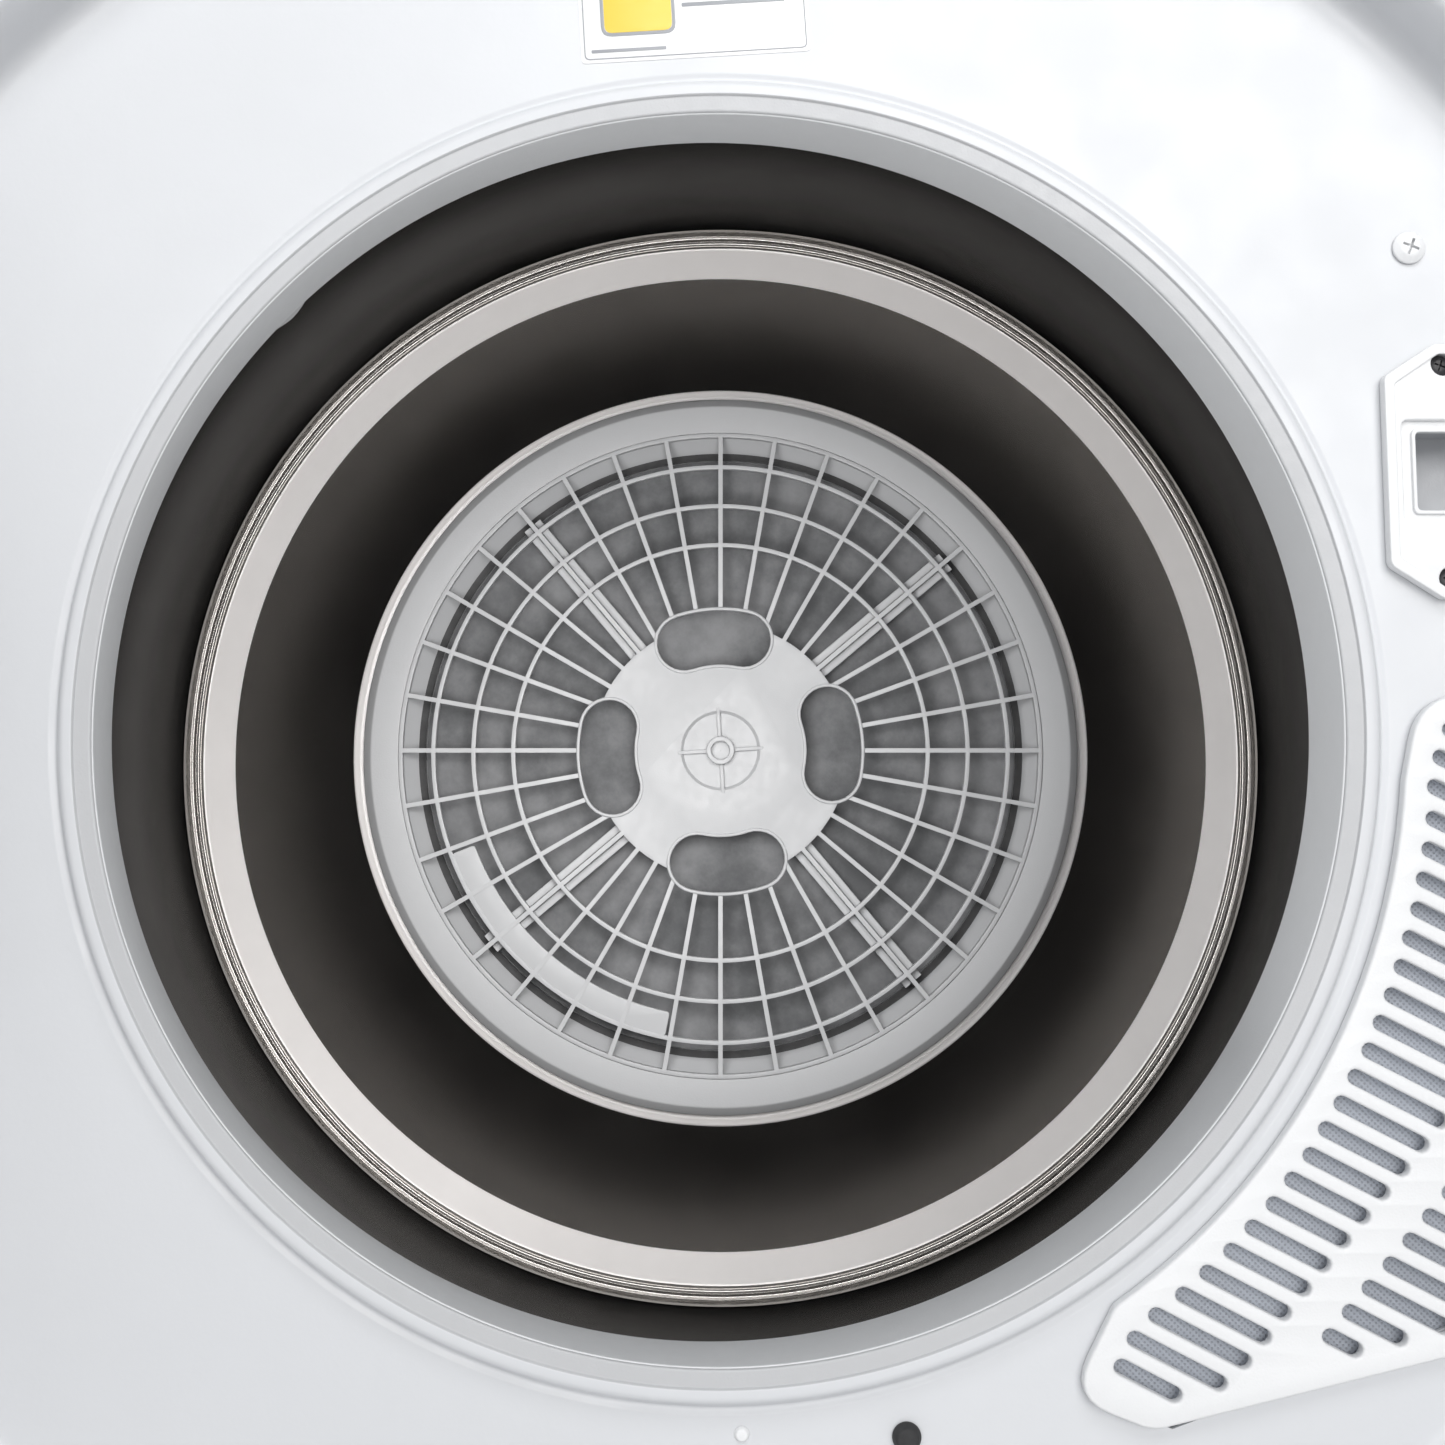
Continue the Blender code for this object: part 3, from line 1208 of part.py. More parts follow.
def main():
    clear_scene()
    white = paint("White enamel", (0.86, 0.87, 0.88), 0.32)
    plastic_white = paint("White plastic", (0.84, 0.85, 0.86), 0.42)
    grey = paint("Grey plastic", (0.42, 0.43, 0.45), 0.45)
    pale_grey = paint("Pale grey plastic", (0.60, 0.61, 0.63), 0.40)
    mesh_grey = paint("Filter mesh", (0.25, 0.26, 0.27), 0.7)
    stainless = paint("Stainless steel", (0.36, 0.35, 0.34), 0.22, 1.0)
    zinc = paint("Galvanised steel", (0.55, 0.57, 0.60), 0.45, 0.8)
    steel = paint("Bright steel", (0.70, 0.70, 0.72), 0.30, 1.0)
    rubber = paint("Black rubber", (0.03, 0.03, 0.03), 0.75)
    dark = paint("Dark plastic", (0.06, 0.06, 0.07), 0.5)
    felt = paint("Grey felt", (0.30, 0.29, 0.28), 0.95)
    silver = paint("Silver plastic", (0.62, 0.63, 0.65), 0.3, 0.4)
    glass = paint("Smoked glass", (0.10, 0.10, 0.11), 0.05)
    green = paint("Circuit board", (0.04, 0.22, 0.10), 0.5)
    ceramic = paint("Heater", (0.45, 0.44, 0.42), 0.6)
    blue_grey = paint("Blue-grey screen", (0.50, 0.53, 0.58), 0.6)

    base_pan(zinc)
    side_panel("side_panel_left", -1, white)
    side_panel("side_panel_right", 1, white)
    rear_panel(zinc)
    worktop(white)
    feet(rubber)
    kick_panel(white)
    front_panel(white)
    mouth_collar(pale_grey)
    front_bulkhead(zinc)
    drum_felt(felt)
    vent_grille(plastic_white)
    vent_screen(blue_grey)
    heater_element(ceramic)
    latch_plate(plastic_white)
    latch_housing(dark)
    panel_screw(steel)
    door_buffer(rubber)
    control_fascia(plastic_white)
    control_board(green)
    dial("timer_dial", TIMER_X, 0.026, 0.014, silver)
    dial("heat_dial", HEAT_X, 0.018, 0.012, silver)
    start_button(silver)

    drum_shell(stainless)
    drum_rear_wall(stainless)
    for number, angle in enumerate(LIFTER_ANGLES, start=1):
        lifter(number, angle, pale_grey)
    filter_tray(grey)
    filter_mesh(mesh_grey)
    filter_grille(grey)
    drum_spider(steel)
    drum_shaft(steel)

    air_chamber(zinc)
    shaft_bearing(steel)
    blower_housing(zinc)
    blower_wheel(pale_grey)
    exhaust_duct(zinc)
    motor_can(dark)
    motor_shaft(steel)
    motor_cradle(zinc)
    drive_belt(rubber)
    idler_pulley(pale_grey)
    idler_arm(steel)
    idler_bracket(zinc)
    drum_rollers(rubber)
    cord_gland(dark)

    pivot = door_pivot()
    door_frame(pivot, white)
    door_liner(pivot, plastic_white)
    door_window(pivot, glass)
    door_seal(pivot, rubber)
    door_hook(pivot, steel)
    door_handle(pivot, silver)
    hinge_leaf(pivot, steel)
    hinge_plate(steel)
    hinge_pin(steel)


main()
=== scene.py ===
# %% [markdown]
# # A clothes dryer with its round door open
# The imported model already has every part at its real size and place, and knows how each one moves. This lesson
# dresses it: it rebuilds the round parts with smooth curves, rounds the edges that a hand would feel, and gives
# every surface a finish made from nodes. We start by loading the model and reading the sizes that all the
# other cells use, so that nothing is placed by eye.

# %% Load the model and read its sizes
import json
import math

import bmesh
import bpy
from mathutils import Matrix, Vector

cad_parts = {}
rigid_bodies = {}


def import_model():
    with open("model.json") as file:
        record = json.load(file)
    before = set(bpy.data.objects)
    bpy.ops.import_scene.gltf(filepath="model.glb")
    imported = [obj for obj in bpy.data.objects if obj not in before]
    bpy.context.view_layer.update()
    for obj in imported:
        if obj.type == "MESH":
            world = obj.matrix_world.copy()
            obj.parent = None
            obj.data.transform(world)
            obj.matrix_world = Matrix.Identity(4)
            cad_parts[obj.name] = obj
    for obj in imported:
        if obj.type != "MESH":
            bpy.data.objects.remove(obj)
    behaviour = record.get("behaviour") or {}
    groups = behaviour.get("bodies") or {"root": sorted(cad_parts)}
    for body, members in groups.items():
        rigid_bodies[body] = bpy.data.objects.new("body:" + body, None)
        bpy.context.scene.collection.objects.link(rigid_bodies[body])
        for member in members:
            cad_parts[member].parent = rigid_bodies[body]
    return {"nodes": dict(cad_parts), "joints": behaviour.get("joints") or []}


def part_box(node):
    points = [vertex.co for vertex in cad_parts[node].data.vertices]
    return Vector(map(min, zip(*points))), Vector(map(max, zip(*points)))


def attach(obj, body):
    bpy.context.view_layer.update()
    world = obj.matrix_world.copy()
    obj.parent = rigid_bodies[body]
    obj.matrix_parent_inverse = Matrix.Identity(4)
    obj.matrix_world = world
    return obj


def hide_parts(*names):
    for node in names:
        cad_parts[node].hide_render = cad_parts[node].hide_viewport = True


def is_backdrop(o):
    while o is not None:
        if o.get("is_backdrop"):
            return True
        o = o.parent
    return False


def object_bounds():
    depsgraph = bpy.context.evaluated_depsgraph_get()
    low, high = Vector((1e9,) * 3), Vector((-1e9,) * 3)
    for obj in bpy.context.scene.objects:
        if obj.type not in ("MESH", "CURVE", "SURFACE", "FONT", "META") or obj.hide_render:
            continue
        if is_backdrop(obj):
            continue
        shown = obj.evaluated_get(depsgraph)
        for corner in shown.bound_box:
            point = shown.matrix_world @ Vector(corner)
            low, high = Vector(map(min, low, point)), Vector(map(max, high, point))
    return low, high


for leftover in list(bpy.data.objects):
    bpy.data.objects.remove(leftover)
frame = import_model()
cad_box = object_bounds()
joints = {joint["name"]: joint for joint in frame["joints"]}


def span(node, axis):
    """The lowest and highest place of a node along X, Y or Z."""
    low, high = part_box(node)
    i = "XYZ".index(axis)
    return low[i], high[i]


def middle_of(node):
    """The X and Z of a node's centre."""
    return [sum(span(node, axis)) / 2 for axis in "XZ"]


AXIS_Z = joints["drum_spin"]["pos_m"][2]
SHEET = 0.0012  # the front panel's steel
SEAT = 0.0004  # the gap between parts that sit on each other
FRONT = span("front_panel", "Y")[0]
FLOOR = span("front_panel", "Y")[1] - SHEET
DRUM_RADIUS = span("drum_shell", "X")[1]
DRUM_FRONT, DRUM_BACK = span("drum_shell", "Y")
RECESS_RADIUS = DRUM_RADIUS - 0.018
MOUTH_RADIUS = RECESS_RADIUS - 0.0904
print("drum", round(DRUM_RADIUS * 2000), "mm across, recess floor at y =", round(FLOOR, 4))

# %% [markdown]
# ## Tools for making meshes
# Most parts of this machine are turned, pressed from flat sheet or moulded. Three small tools cover them: one
# spins an outline about an axis, one extrudes an outline that may have holes, and one joins loops of points
# like the hoops of a barrel. A fourth turns sharp corners of an outline into arcs, because no real edge is
# perfectly sharp, and it is the rounded edges that catch the light.

# %% Outlines
def rounded(points, radii, steps=4, closed=True):
    """An outline whose corners are drawn as arcs. radii is one size, or one for each corner."""
    if not isinstance(radii, (list, tuple)):
        radii = [radii] * len(points)
    result = []
    for i, (point, radius) in enumerate(zip(points, radii)):
        corner = Vector(point)
        if radius == 0 or (not closed and i in (0, len(points) - 1)):
            result.append(tuple(corner))
            continue
        before = Vector(points[i - 1]) - corner
        after = Vector(points[(i + 1) % len(points)]) - corner
        half = before.angle(after) / 2
        reach = min(radius / max(math.tan(half), 1e-3), 0.48 * before.length, 0.48 * after.length)
        start, end = corner + before.normalized() * reach, corner + after.normalized() * reach
        for k in range(steps + 1):
            t = k / steps
            result.append(tuple(start * (1 - t) ** 2 + corner * 2 * t * (1 - t) + end * t**2))
    return result


def arc(radius, start, end, count, centre=(0, 0)):
    """Points on an arc, its angles in degrees."""
    turns = [math.radians(start + (end - start) * i / count) for i in range(count + 1)]
    return [(centre[0] + radius * math.cos(a), centre[1] + radius * math.sin(a)) for a in turns]


def polar(radius, degrees):
    return (radius * math.cos(math.radians(degrees)), radius * math.sin(math.radians(degrees)))


def moved(outline, du, dv):
    return [(u + du, v + dv) for u, v in outline]


def from_point(u, v, offsets):
    """Points given in millimetres from a point."""
    return [(u + du / 1000, v + dv / 1000) for du, dv in offsets]


def rectangle(half_u, half_v):
    return [(-half_u, -half_v), (half_u, -half_v), (half_u, half_v), (-half_u, half_v)]


# %% Meshes into objects
def linked(name, data):
    made = bpy.data.objects.new(name, data)
    bpy.context.collection.objects.link(made)
    return made


def smooth(mesh, angle=35):
    """Shades a mesh smooth, but for edges that turn by more than this angle."""
    mesh.shade_smooth()
    mesh.set_sharp_from_angle(angle=math.radians(angle))


def object_of(name, bm, angle=35):
    mesh = bpy.data.meshes.new(name)
    bm.to_mesh(mesh)
    bm.free()
    if angle:
        smooth(mesh, angle)
    return linked(name, mesh)


def put(name, bm, at=(0, 0, 0), angle=35):
    """A bmesh as an object. Its place goes into the mesh, so the object itself stays at the origin."""
    bmesh.ops.remove_doubles(bm, verts=bm.verts, dist=1e-6)
    bmesh.ops.recalc_face_normals(bm, faces=bm.faces)
    bmesh.ops.translate(bm, verts=bm.verts, vec=at)
    return object_of(name, bm, angle)


def evaluated(obj):
    """What an object looks like with its modifiers, as a plain mesh."""
    return bpy.data.meshes.new_from_object(obj.evaluated_get(bpy.context.evaluated_depsgraph_get()))


def settle(obj, angle=None):
    """Applies an object's modifiers, and shades it again if an angle is given."""
    mesh = evaluated(obj)
    obj.modifiers.clear()
    obj.data = mesh
    if angle:
        smooth(mesh, angle)
    return obj


def bevelled(obj, width, segments, limit, angle=None):
    """Rounds the edges that turn by more than the limit, in degrees."""
    bevel = obj.modifiers.new("Soft edges", "BEVEL")
    bevel.width, bevel.segments = width, segments
    bevel.limit_method = "ANGLE"
    bevel.angle_limit = math.radians(limit)
    return settle(obj, angle)


def merged(name, pieces):
    """Several objects' meshes in one object, for details that are fixed to each other."""
    bm = bmesh.new()
    for piece in pieces:
        bm.from_mesh(piece.data)
        bpy.data.objects.remove(piece)
    return object_of(name, bm)


# %% From outlines to objects
def along(axis, u, v, w):
    """A point at (u, v) in the plane across an axis, and w along it."""
    return {"X": (w, u, v), "Y": (u, w, v), "Z": (u, v, w)}[axis]


def turned(name, profile, axis="Y", steps=192, at=(0, 0, AXIS_Z), angle=35):
    """A closed outline of (radius, place along the axis), spun about that axis."""
    bm = bmesh.new()
    rows = []
    for radius, w in profile:
        count = 1 if radius < 1e-7 else steps
        rows.append([bm.verts.new(along(axis, *polar(radius, 360 * i / steps), w)) for i in range(count)])
    for row, following in zip(rows, rows[1:] + rows[:1]):
        if len(row) == 1 and len(following) == 1:
            continue
        for i in range(steps):
            j = (i + 1) % steps
            corners = [row[i % len(row)], row[j % len(row)], following[j % len(following)]]
            corners.append(following[i % len(following)])
            bm.faces.new(list(dict.fromkeys(corners)))
    return put(name, bm, at, angle)


def skin_over(bm, rows, ring=False):
    """Faces between rows of as many points each: a ring of rows, or a run that is closed at both ends."""
    for row, following in zip(rows, rows[1:] + rows[:1] if ring else rows[1:]):
        for i in range(len(row)):
            j = (i + 1) % len(row)
            bm.faces.new((row[i], row[j], following[j], following[i]))
    if not ring:
        bm.faces.new(rows[0])
        bm.faces.new(rows[-1][::-1])


def loft(name, loops, ring=True, at=(0, 0, 0), angle=35):
    """Loops of points, joined one to the next."""
    bm = bmesh.new()
    skin_over(bm, [[bm.verts.new(point) for point in loop] for loop in loops], ring)
    return put(name, bm, at, angle)


def plate(name, outlines, low, high, axis="Y", soften=0.0004, at=(0, 0, AXIS_Z)):
    """A flat piece between two places along an axis. Outlines after the first are its holes, and its edges are
    rounded. A filled curve does the cutting, so the holes need no Boolean."""
    curve = bpy.data.curves.new(name, "CURVE")
    curve.dimensions = "2D"
    curve.fill_mode = "BOTH"
    curve.extrude = max((high - low) / 2 - soften, 1e-6)
    curve.bevel_depth = soften
    curve.bevel_resolution = 2 if soften else 0
    curve.offset = -soften
    for outline in outlines:
        spline = curve.splines.new("POLY")
        spline.points.add(len(outline) - 1)
        for point, (u, v) in zip(spline.points, outline):
            point.co = (u, v, 0, 1)
        spline.use_cyclic_u = True
    holder = linked(name, curve)
    mesh = evaluated(holder)
    bpy.data.objects.remove(holder)
    bm = bmesh.new()
    bm.from_mesh(mesh)
    bpy.data.meshes.remove(mesh)
    for vertex in bm.verts:
        u, v, w = vertex.co
        vertex.co = along(axis, u, v, (low + high) / 2 + w)
    return put(name, bm, at)


def solid(name, low, high, soften=0.001, segments=3, at=(0, 0, 0)):
    """A block with rounded edges."""
    bm = bmesh.new()
    size = [h - l for l, h in zip(low, high)]
    middle = [(h + l) / 2 for l, h in zip(low, high)]
    place = Matrix.Translation(middle) @ Matrix.Diagonal((*size, 1))
    bmesh.ops.create_cube(bm, size=1, matrix=place)
    if soften:
        edges = bm.edges[:]
        bmesh.ops.bevel(
            bm, geom=edges, offset=soften, segments=segments, profile=0.5, affect="EDGES", clamp_overlap=True
        )
    return put(name, bm, at)


def carve(obj, *cutters):
    """Cuts with a Boolean, and removes the cutters."""
    for cutter in cutters:
        modifier = obj.modifiers.new("Boolean", "BOOLEAN")
        modifier.operation = "DIFFERENCE"
        modifier.solver = "EXACT"
        modifier.object = cutter
    settle(obj, 35)
    for cutter in cutters:
        bpy.data.objects.remove(cutter)
    return obj

# %% Give a piece its finish, its body and the part it stands for
def dress(piece, finish, body, slot, *nodes):
    piece.data.materials.clear()
    piece.data.materials.append(finish)
    for face in piece.data.polygons:
        face.material_index = 0
    if nodes:
        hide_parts(*nodes)
    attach(piece, body)
    return piece


# %% [markdown]
# ## Repeats with Geometry Nodes
# Spokes, slats, ribs and screws are one shape many times over. Two node trees do all of that. The first turns
# copies of a piece about an axis, and the second sets copies out in a row. Both have named inputs for the
# numbers, so a change of count is one value. Copies are realised at the end, because a plain mesh is what
# other programs can read.

# %% The two trees
def math_node(tree, operation, a, b):
    node = tree.nodes.new("ShaderNodeMath")
    node.operation = operation
    for socket, value in zip(node.inputs, (a, b)):
        if isinstance(value, (int, float)):
            socket.default_value = value
        else:
            tree.links.new(value, socket)
    return node.outputs[0]


def copies_tree(name, inputs, arrange):
    """A tree that makes Count copies of Piece, sets them out with arrange, and gives them Finish."""
    tree = bpy.data.node_groups.new(name, "GeometryNodeTree")
    for label, kind in [("Piece", "Object"), ("Count", "Int"), ("Finish", "Material"), *inputs]:
        tree.interface.new_socket(name=label, in_out="INPUT", socket_type=f"NodeSocket{kind}")
    tree.interface.new_socket(name="Geometry", in_out="OUTPUT", socket_type="NodeSocketGeometry")
    kinds = ["Points", "ObjectInfo", "InstanceOnPoints", "RealizeInstances", "SetMaterial", "InputIndex"]
    points, info, place, realise, finish, index = [tree.nodes.new(f"GeometryNode{kind}") for kind in kinds]
    group, result = tree.nodes.new("NodeGroupInput"), tree.nodes.new("NodeGroupOutput")
    join = tree.links.new
    join(group.outputs["Count"], points.inputs["Count"])
    join(group.outputs["Piece"], info.inputs["Object"])
    join(points.outputs[0], place.inputs["Points"])
    join(info.outputs["Geometry"], place.inputs["Instance"])
    join(arrange(tree, group.outputs, place.outputs["Instances"], index.outputs[0]), realise.inputs[0])
    join(realise.outputs[0], finish.inputs["Geometry"])
    join(group.outputs["Finish"], finish.inputs["Material"])
    join(finish.outputs[0], result.inputs[0])
    return tree


def turn_each(tree, values, copies, index):
    """Copy number i is turned about the Y axis through Centre by Start + i * Step."""
    angle = math_node(tree, "ADD", math_node(tree, "MULTIPLY", index, values["Step"]), values["Start"])
    about_y = tree.nodes.new("ShaderNodeCombineXYZ")
    tree.links.new(math_node(tree, "MULTIPLY", angle, -1), about_y.inputs["Y"])
    turn = tree.nodes.new("GeometryNodeRotateInstances")
    turn.inputs["Local Space"].default_value = False
    tree.links.new(copies, turn.inputs["Instances"])
    tree.links.new(about_y.outputs[0], turn.inputs["Rotation"])
    tree.links.new(values["Centre"], turn.inputs["Pivot Point"])
    return turn.outputs[0]


def shift_each(tree, values, copies, index):
    """Copy number i is moved by i * Offset."""
    step = tree.nodes.new("ShaderNodeVectorMath")
    step.operation = "SCALE"
    tree.links.new(values["Offset"], step.inputs[0])
    tree.links.new(index, step.inputs["Scale"])
    shift = tree.nodes.new("GeometryNodeTranslateInstances")
    shift.inputs["Local Space"].default_value = False
    tree.links.new(copies, shift.inputs["Instances"])
    tree.links.new(step.outputs[0], shift.inputs["Translation"])
    return shift.outputs[0]


ROUND_PATTERN = copies_tree(
    "Copies about an axis", [("Step", "Float"), ("Start", "Float"), ("Centre", "Vector")], turn_each
)
ROW_PATTERN = copies_tree("Copies in a row", [("Offset", "Vector")], shift_each)


# %% Run a tree on a piece
def repeat(name, piece, tree, finish, **values):
    """The copies as one plain mesh. The piece itself is used up."""
    holder = linked(name, bpy.data.meshes.new(name))
    modifier = holder.modifiers.new("Copies", "NODES")
    modifier.node_group = tree
    for item in tree.interface.items_tree:
        if item.in_out == "INPUT":
            value = {"Piece": piece, "Finish": finish}.get(item.name, values.get(item.name.lower()))
            modifier[item.identifier] = value
    settle(holder, 35)
    bpy.data.objects.remove(piece)
    print(name, "has", len(holder.data.polygons), "faces")
    return holder


def about_axis(name, piece, count, finish, step=None, start=0.0, centre=(0, 0, AXIS_Z)):
    step = 2 * math.pi / count if step is None else step
    return repeat(name, piece, ROUND_PATTERN, finish, count=count, step=step, start=start, centre=centre)


def in_a_row(name, piece, count, offset, finish):
    return repeat(name, piece, ROW_PATTERN, finish, count=count, offset=offset)

# %% [markdown]
# ## Finishes
# The machine has few materials, but each one is told apart by how it breaks up light. Enamel has the faint
# ripple of paint, moulded plastic a fine grain, rolled steel a brushed direction, zinc its crystals. Every
# finish below is one shader with its own pattern for colour, roughness and relief. The patterns read the
# object's own coordinates in metres, so their scale is real.

# %% Building blocks for finishes
def new_finish(name, colour, roughness, metallic=0.0, **sockets):
    material = bpy.data.materials.new(name)
    material.use_nodes = True
    shader = material.node_tree.nodes["Principled BSDF"]
    shader.inputs["Base Color"].default_value = (*colour, 1)
    shader.inputs["Roughness"].default_value = roughness
    shader.inputs["Metallic"].default_value = metallic
    for socket, value in sockets.items():
        shader.inputs[socket.replace("_", " ")].default_value = value
    return material


def node_of(material, kind, settings=None, **inputs):
    node = material.node_tree.nodes.new(kind)
    for key, value in (settings or {}).items():
        setattr(node, key, value)
    for key, value in inputs.items():
        socket = node.inputs[key.replace("_", " ")]
        if isinstance(value, bpy.types.NodeSocket):
            material.node_tree.links.new(value, socket)
        else:
            socket.default_value = value
    return node


def place_of(material, scale=(1, 1, 1), centre=(0, 0, 0)):
    """Object coordinates in metres, moved so that the centre is at the origin, then scaled."""
    coordinates = node_of(material, "ShaderNodeTexCoord").outputs["Object"]
    shifted = node_of(material, "ShaderNodeVectorMath", {"operation": "SUBTRACT"})
    material.node_tree.links.new(coordinates, shifted.inputs[0])
    shifted.inputs[1].default_value = centre
    scaled = node_of(material, "ShaderNodeVectorMath", {"operation": "MULTIPLY"})
    material.node_tree.links.new(shifted.outputs[0], scaled.inputs[0])
    scaled.inputs[1].default_value = scale
    return scaled.outputs[0]


def round_place(material, across, lengthwise, around, centre=(0, 0, AXIS_Z)):
    """Coordinates that run with a turned piece: radius, place along the axis, and angle, each with its scale."""
    split = node_of(material, "ShaderNodeSeparateXYZ", Vector=place_of(material, centre=centre))
    x, y, z = split.outputs
    tree = material.node_tree
    squares = math_node(tree, "ADD", math_node(tree, "MULTIPLY", x, x), math_node(tree, "MULTIPLY", z, z))
    radius = math_node(tree, "POWER", squares, 0.5)
    angle = math_node(tree, "ARCTAN2", z, x)
    joined = node_of(material, "ShaderNodeCombineXYZ")
    for socket, value, scale in zip(joined.inputs, (radius, y, angle), (across, lengthwise, around)):
        tree.links.new(math_node(tree, "MULTIPLY", value, scale), socket)
    return joined.outputs[0]


def noise(material, vector, scale=1.0, detail=3.0, roughness=0.5, distortion=0.0):
    settings = dict(Vector=vector, Scale=scale, Detail=detail, Roughness=roughness, Distortion=distortion)
    return node_of(material, "ShaderNodeTexNoise", **settings).outputs["Fac"]


def between(material, factor, low, high, start=0.3, end=0.7):
    """A smooth step from one number to another as the factor goes from start to end."""
    limits = dict(From_Min=start, From_Max=end, To_Min=low, To_Max=high)
    ramp = node_of(material, "ShaderNodeMapRange", {"interpolation_type": "SMOOTHSTEP"}, Value=factor, **limits)
    return ramp.outputs["Result"]


def colours(material, factor, stops):
    ramp = node_of(material, "ShaderNodeValToRGB", Fac=factor)
    elements = ramp.color_ramp.elements
    while len(elements) < len(stops):
        elements.new(0.5)
    for element, (position, colour) in zip(elements, stops):
        element.position = position
        element.color = (*colour, 1)
    return ramp.outputs["Color"]


def relief(material, height, distance, strength=1.0):
    """Adds a bump, on top of any that is there already."""
    shader = material.node_tree.nodes["Principled BSDF"]
    bump = node_of(material, "ShaderNodeBump", Height=height, Distance=distance, Strength=strength)
    if shader.inputs["Normal"].links:
        material.node_tree.links.new(shader.inputs["Normal"].links[0].from_socket, bump.inputs["Normal"])
    material.node_tree.links.new(bump.outputs["Normal"], shader.inputs["Normal"])


def wire(material, socket, value):
    material.node_tree.links.new(value, material.node_tree.nodes["Principled BSDF"].inputs[socket])


def tint(material, pattern, colour, stops):
    """Base colour: the colour times a factor that follows a pattern."""
    shades = [(position, tuple(min(1.0, c * factor) for c in colour)) for position, factor in stops]
    wire(material, "Base Color", colours(material, pattern, shades))


def gloss(material, pattern, low, high, start=0.3, end=0.7):
    """Roughness that follows a pattern."""
    wire(material, "Roughness", between(material, pattern, low, high, start, end))


# %% Enamel, plastics and rubber
def layered(name, colour, roughness, clouds, stops, wiped=None, grains=(), metallic=0.0, **sockets):
    """A plain finish in layers: clouds of tone, clouds of gloss, and grains of relief."""
    material = new_finish(name, colour, roughness, metallic, **sockets)
    place = place_of(material)
    tint(material, noise(material, place, *clouds), colour, stops)
    if wiped:
        scale, detail, low, high = wiped
        gloss(material, noise(material, place, scale, detail), roughness * low, roughness * high)
    for scale, detail, *depth in grains:
        relief(material, noise(material, place, scale, detail), *depth)
    return material


def moulded(name, colour, roughness=0.42, grain=0.00006, metallic=0.0):
    """Injection-moulded plastic: an even fine grain, with faint flow clouds under it."""
    flow = (22, 5, 0.6), [(0.25, 0.975), (0.75, 1.015)]
    return layered(name, colour, roughness, *flow, (260, 3, 0.88, 1.12), [(1500, 2, grain)], metallic)


# stoved paint on sheet steel: a soft ripple, and a slight unevenness of gloss where it has been wiped
white_enamel = layered(
    "White stoved enamel",
    (0.64, 0.65, 0.668),
    0.40,
    (9, 4),
    [(0.3, 0.985), (0.7, 1.01)],
    (35, 5, 0.8, 1.35),
    [(420, 2, 0.00004), (10, 1, 0.0001, 0.25)],
    Coat_Weight=0.12,
    Coat_Roughness=0.25,
)
# matt rubber, with a bloom of dust in its low spots
black_rubber = layered(
    "Black rubber",
    (0.022, 0.022, 0.023),
    0.7,
    (90, 6, 0.7),
    [(0.4, 1), (0.75, 2.1)],
    grains=[(900, 3, 0.0001)],
)
white_plastic = moulded("White moulding", (0.78, 0.785, 0.79), 0.42)
filter_grey = moulded("Filter grey moulding", (0.385, 0.39, 0.40), 0.55)
collar_grey = moulded("Collar grey moulding", (0.72, 0.73, 0.74), 0.40)
ring_grey = moulded("Ring grey trim", (0.50, 0.505, 0.515), 0.46)
lifter_grey = moulded("Lifter grey moulding", (0.50, 0.51, 0.53), 0.40)
black_plastic = moulded("Black moulding", (0.025, 0.025, 0.028), 0.45)
silver_lacquer = moulded("Silver lacquer", (0.55, 0.56, 0.58), 0.30, 0.00003, 0.55)
print("plain finishes made")

# %% Steels
def rolled_steel(name, colour, roughness, fineness, depth=0, metallic=1.0, **sockets):
    """Polished sheet steel on a turned shape: fine lines that run round the axis, under a film of wear."""
    material = new_finish(name, colour, roughness, metallic, **sockets)
    lines = noise(material, round_place(material, fineness, fineness, 1.2), 1.0, 3, 0.6)
    film = noise(material, place_of(material), 11, 6, 0.62)
    tint(material, film, colour, [(0.3, 0.95), (0.7, 1.04)])
    wear = between(material, film, 0, roughness * 0.22)
    grooves = between(material, lines, roughness * 0.98, roughness * 1.02)
    wire(material, "Roughness", math_node(material.node_tree, "ADD", wear, grooves))
    if depth:
        relief(material, lines, depth)
    return material


def plated_steel(name, colour, roughness):
    """Bright plated steel for screws, pins and shafts, with light handling marks."""
    material = new_finish(name, colour, roughness, 1.0)
    marks = noise(material, place_of(material), 160, 6, 0.65)
    tint(material, marks, colour, [(0.3, 0.82), (0.7, 1.05)])
    gloss(material, marks, roughness * 0.8, roughness * 1.5)
    relief(material, noise(material, place_of(material, (1, 60, 1)), 300, 2), 0.00002)
    return material


def zinc_coated(name, colour):
    """Galvanised sheet: the zinc freezes into crystals a few millimetres across, each with its own tone."""
    material = new_finish(name, colour, 0.42, 0.85)
    crystals = node_of(material, "ShaderNodeTexVoronoi", Vector=place_of(material), Scale=170.0, Randomness=1.0)
    tone = node_of(material, "ShaderNodeSeparateColor", Color=crystals.outputs["Color"]).outputs[0]
    tint(material, tone, colour, [(0.0, 0.88), (0.5, 1), (1.0, 1.09)])
    gloss(material, tone, 0.34, 0.52, 0, 1)
    relief(material, crystals.outputs["Distance"], 0.00015, 0.4)
    return material


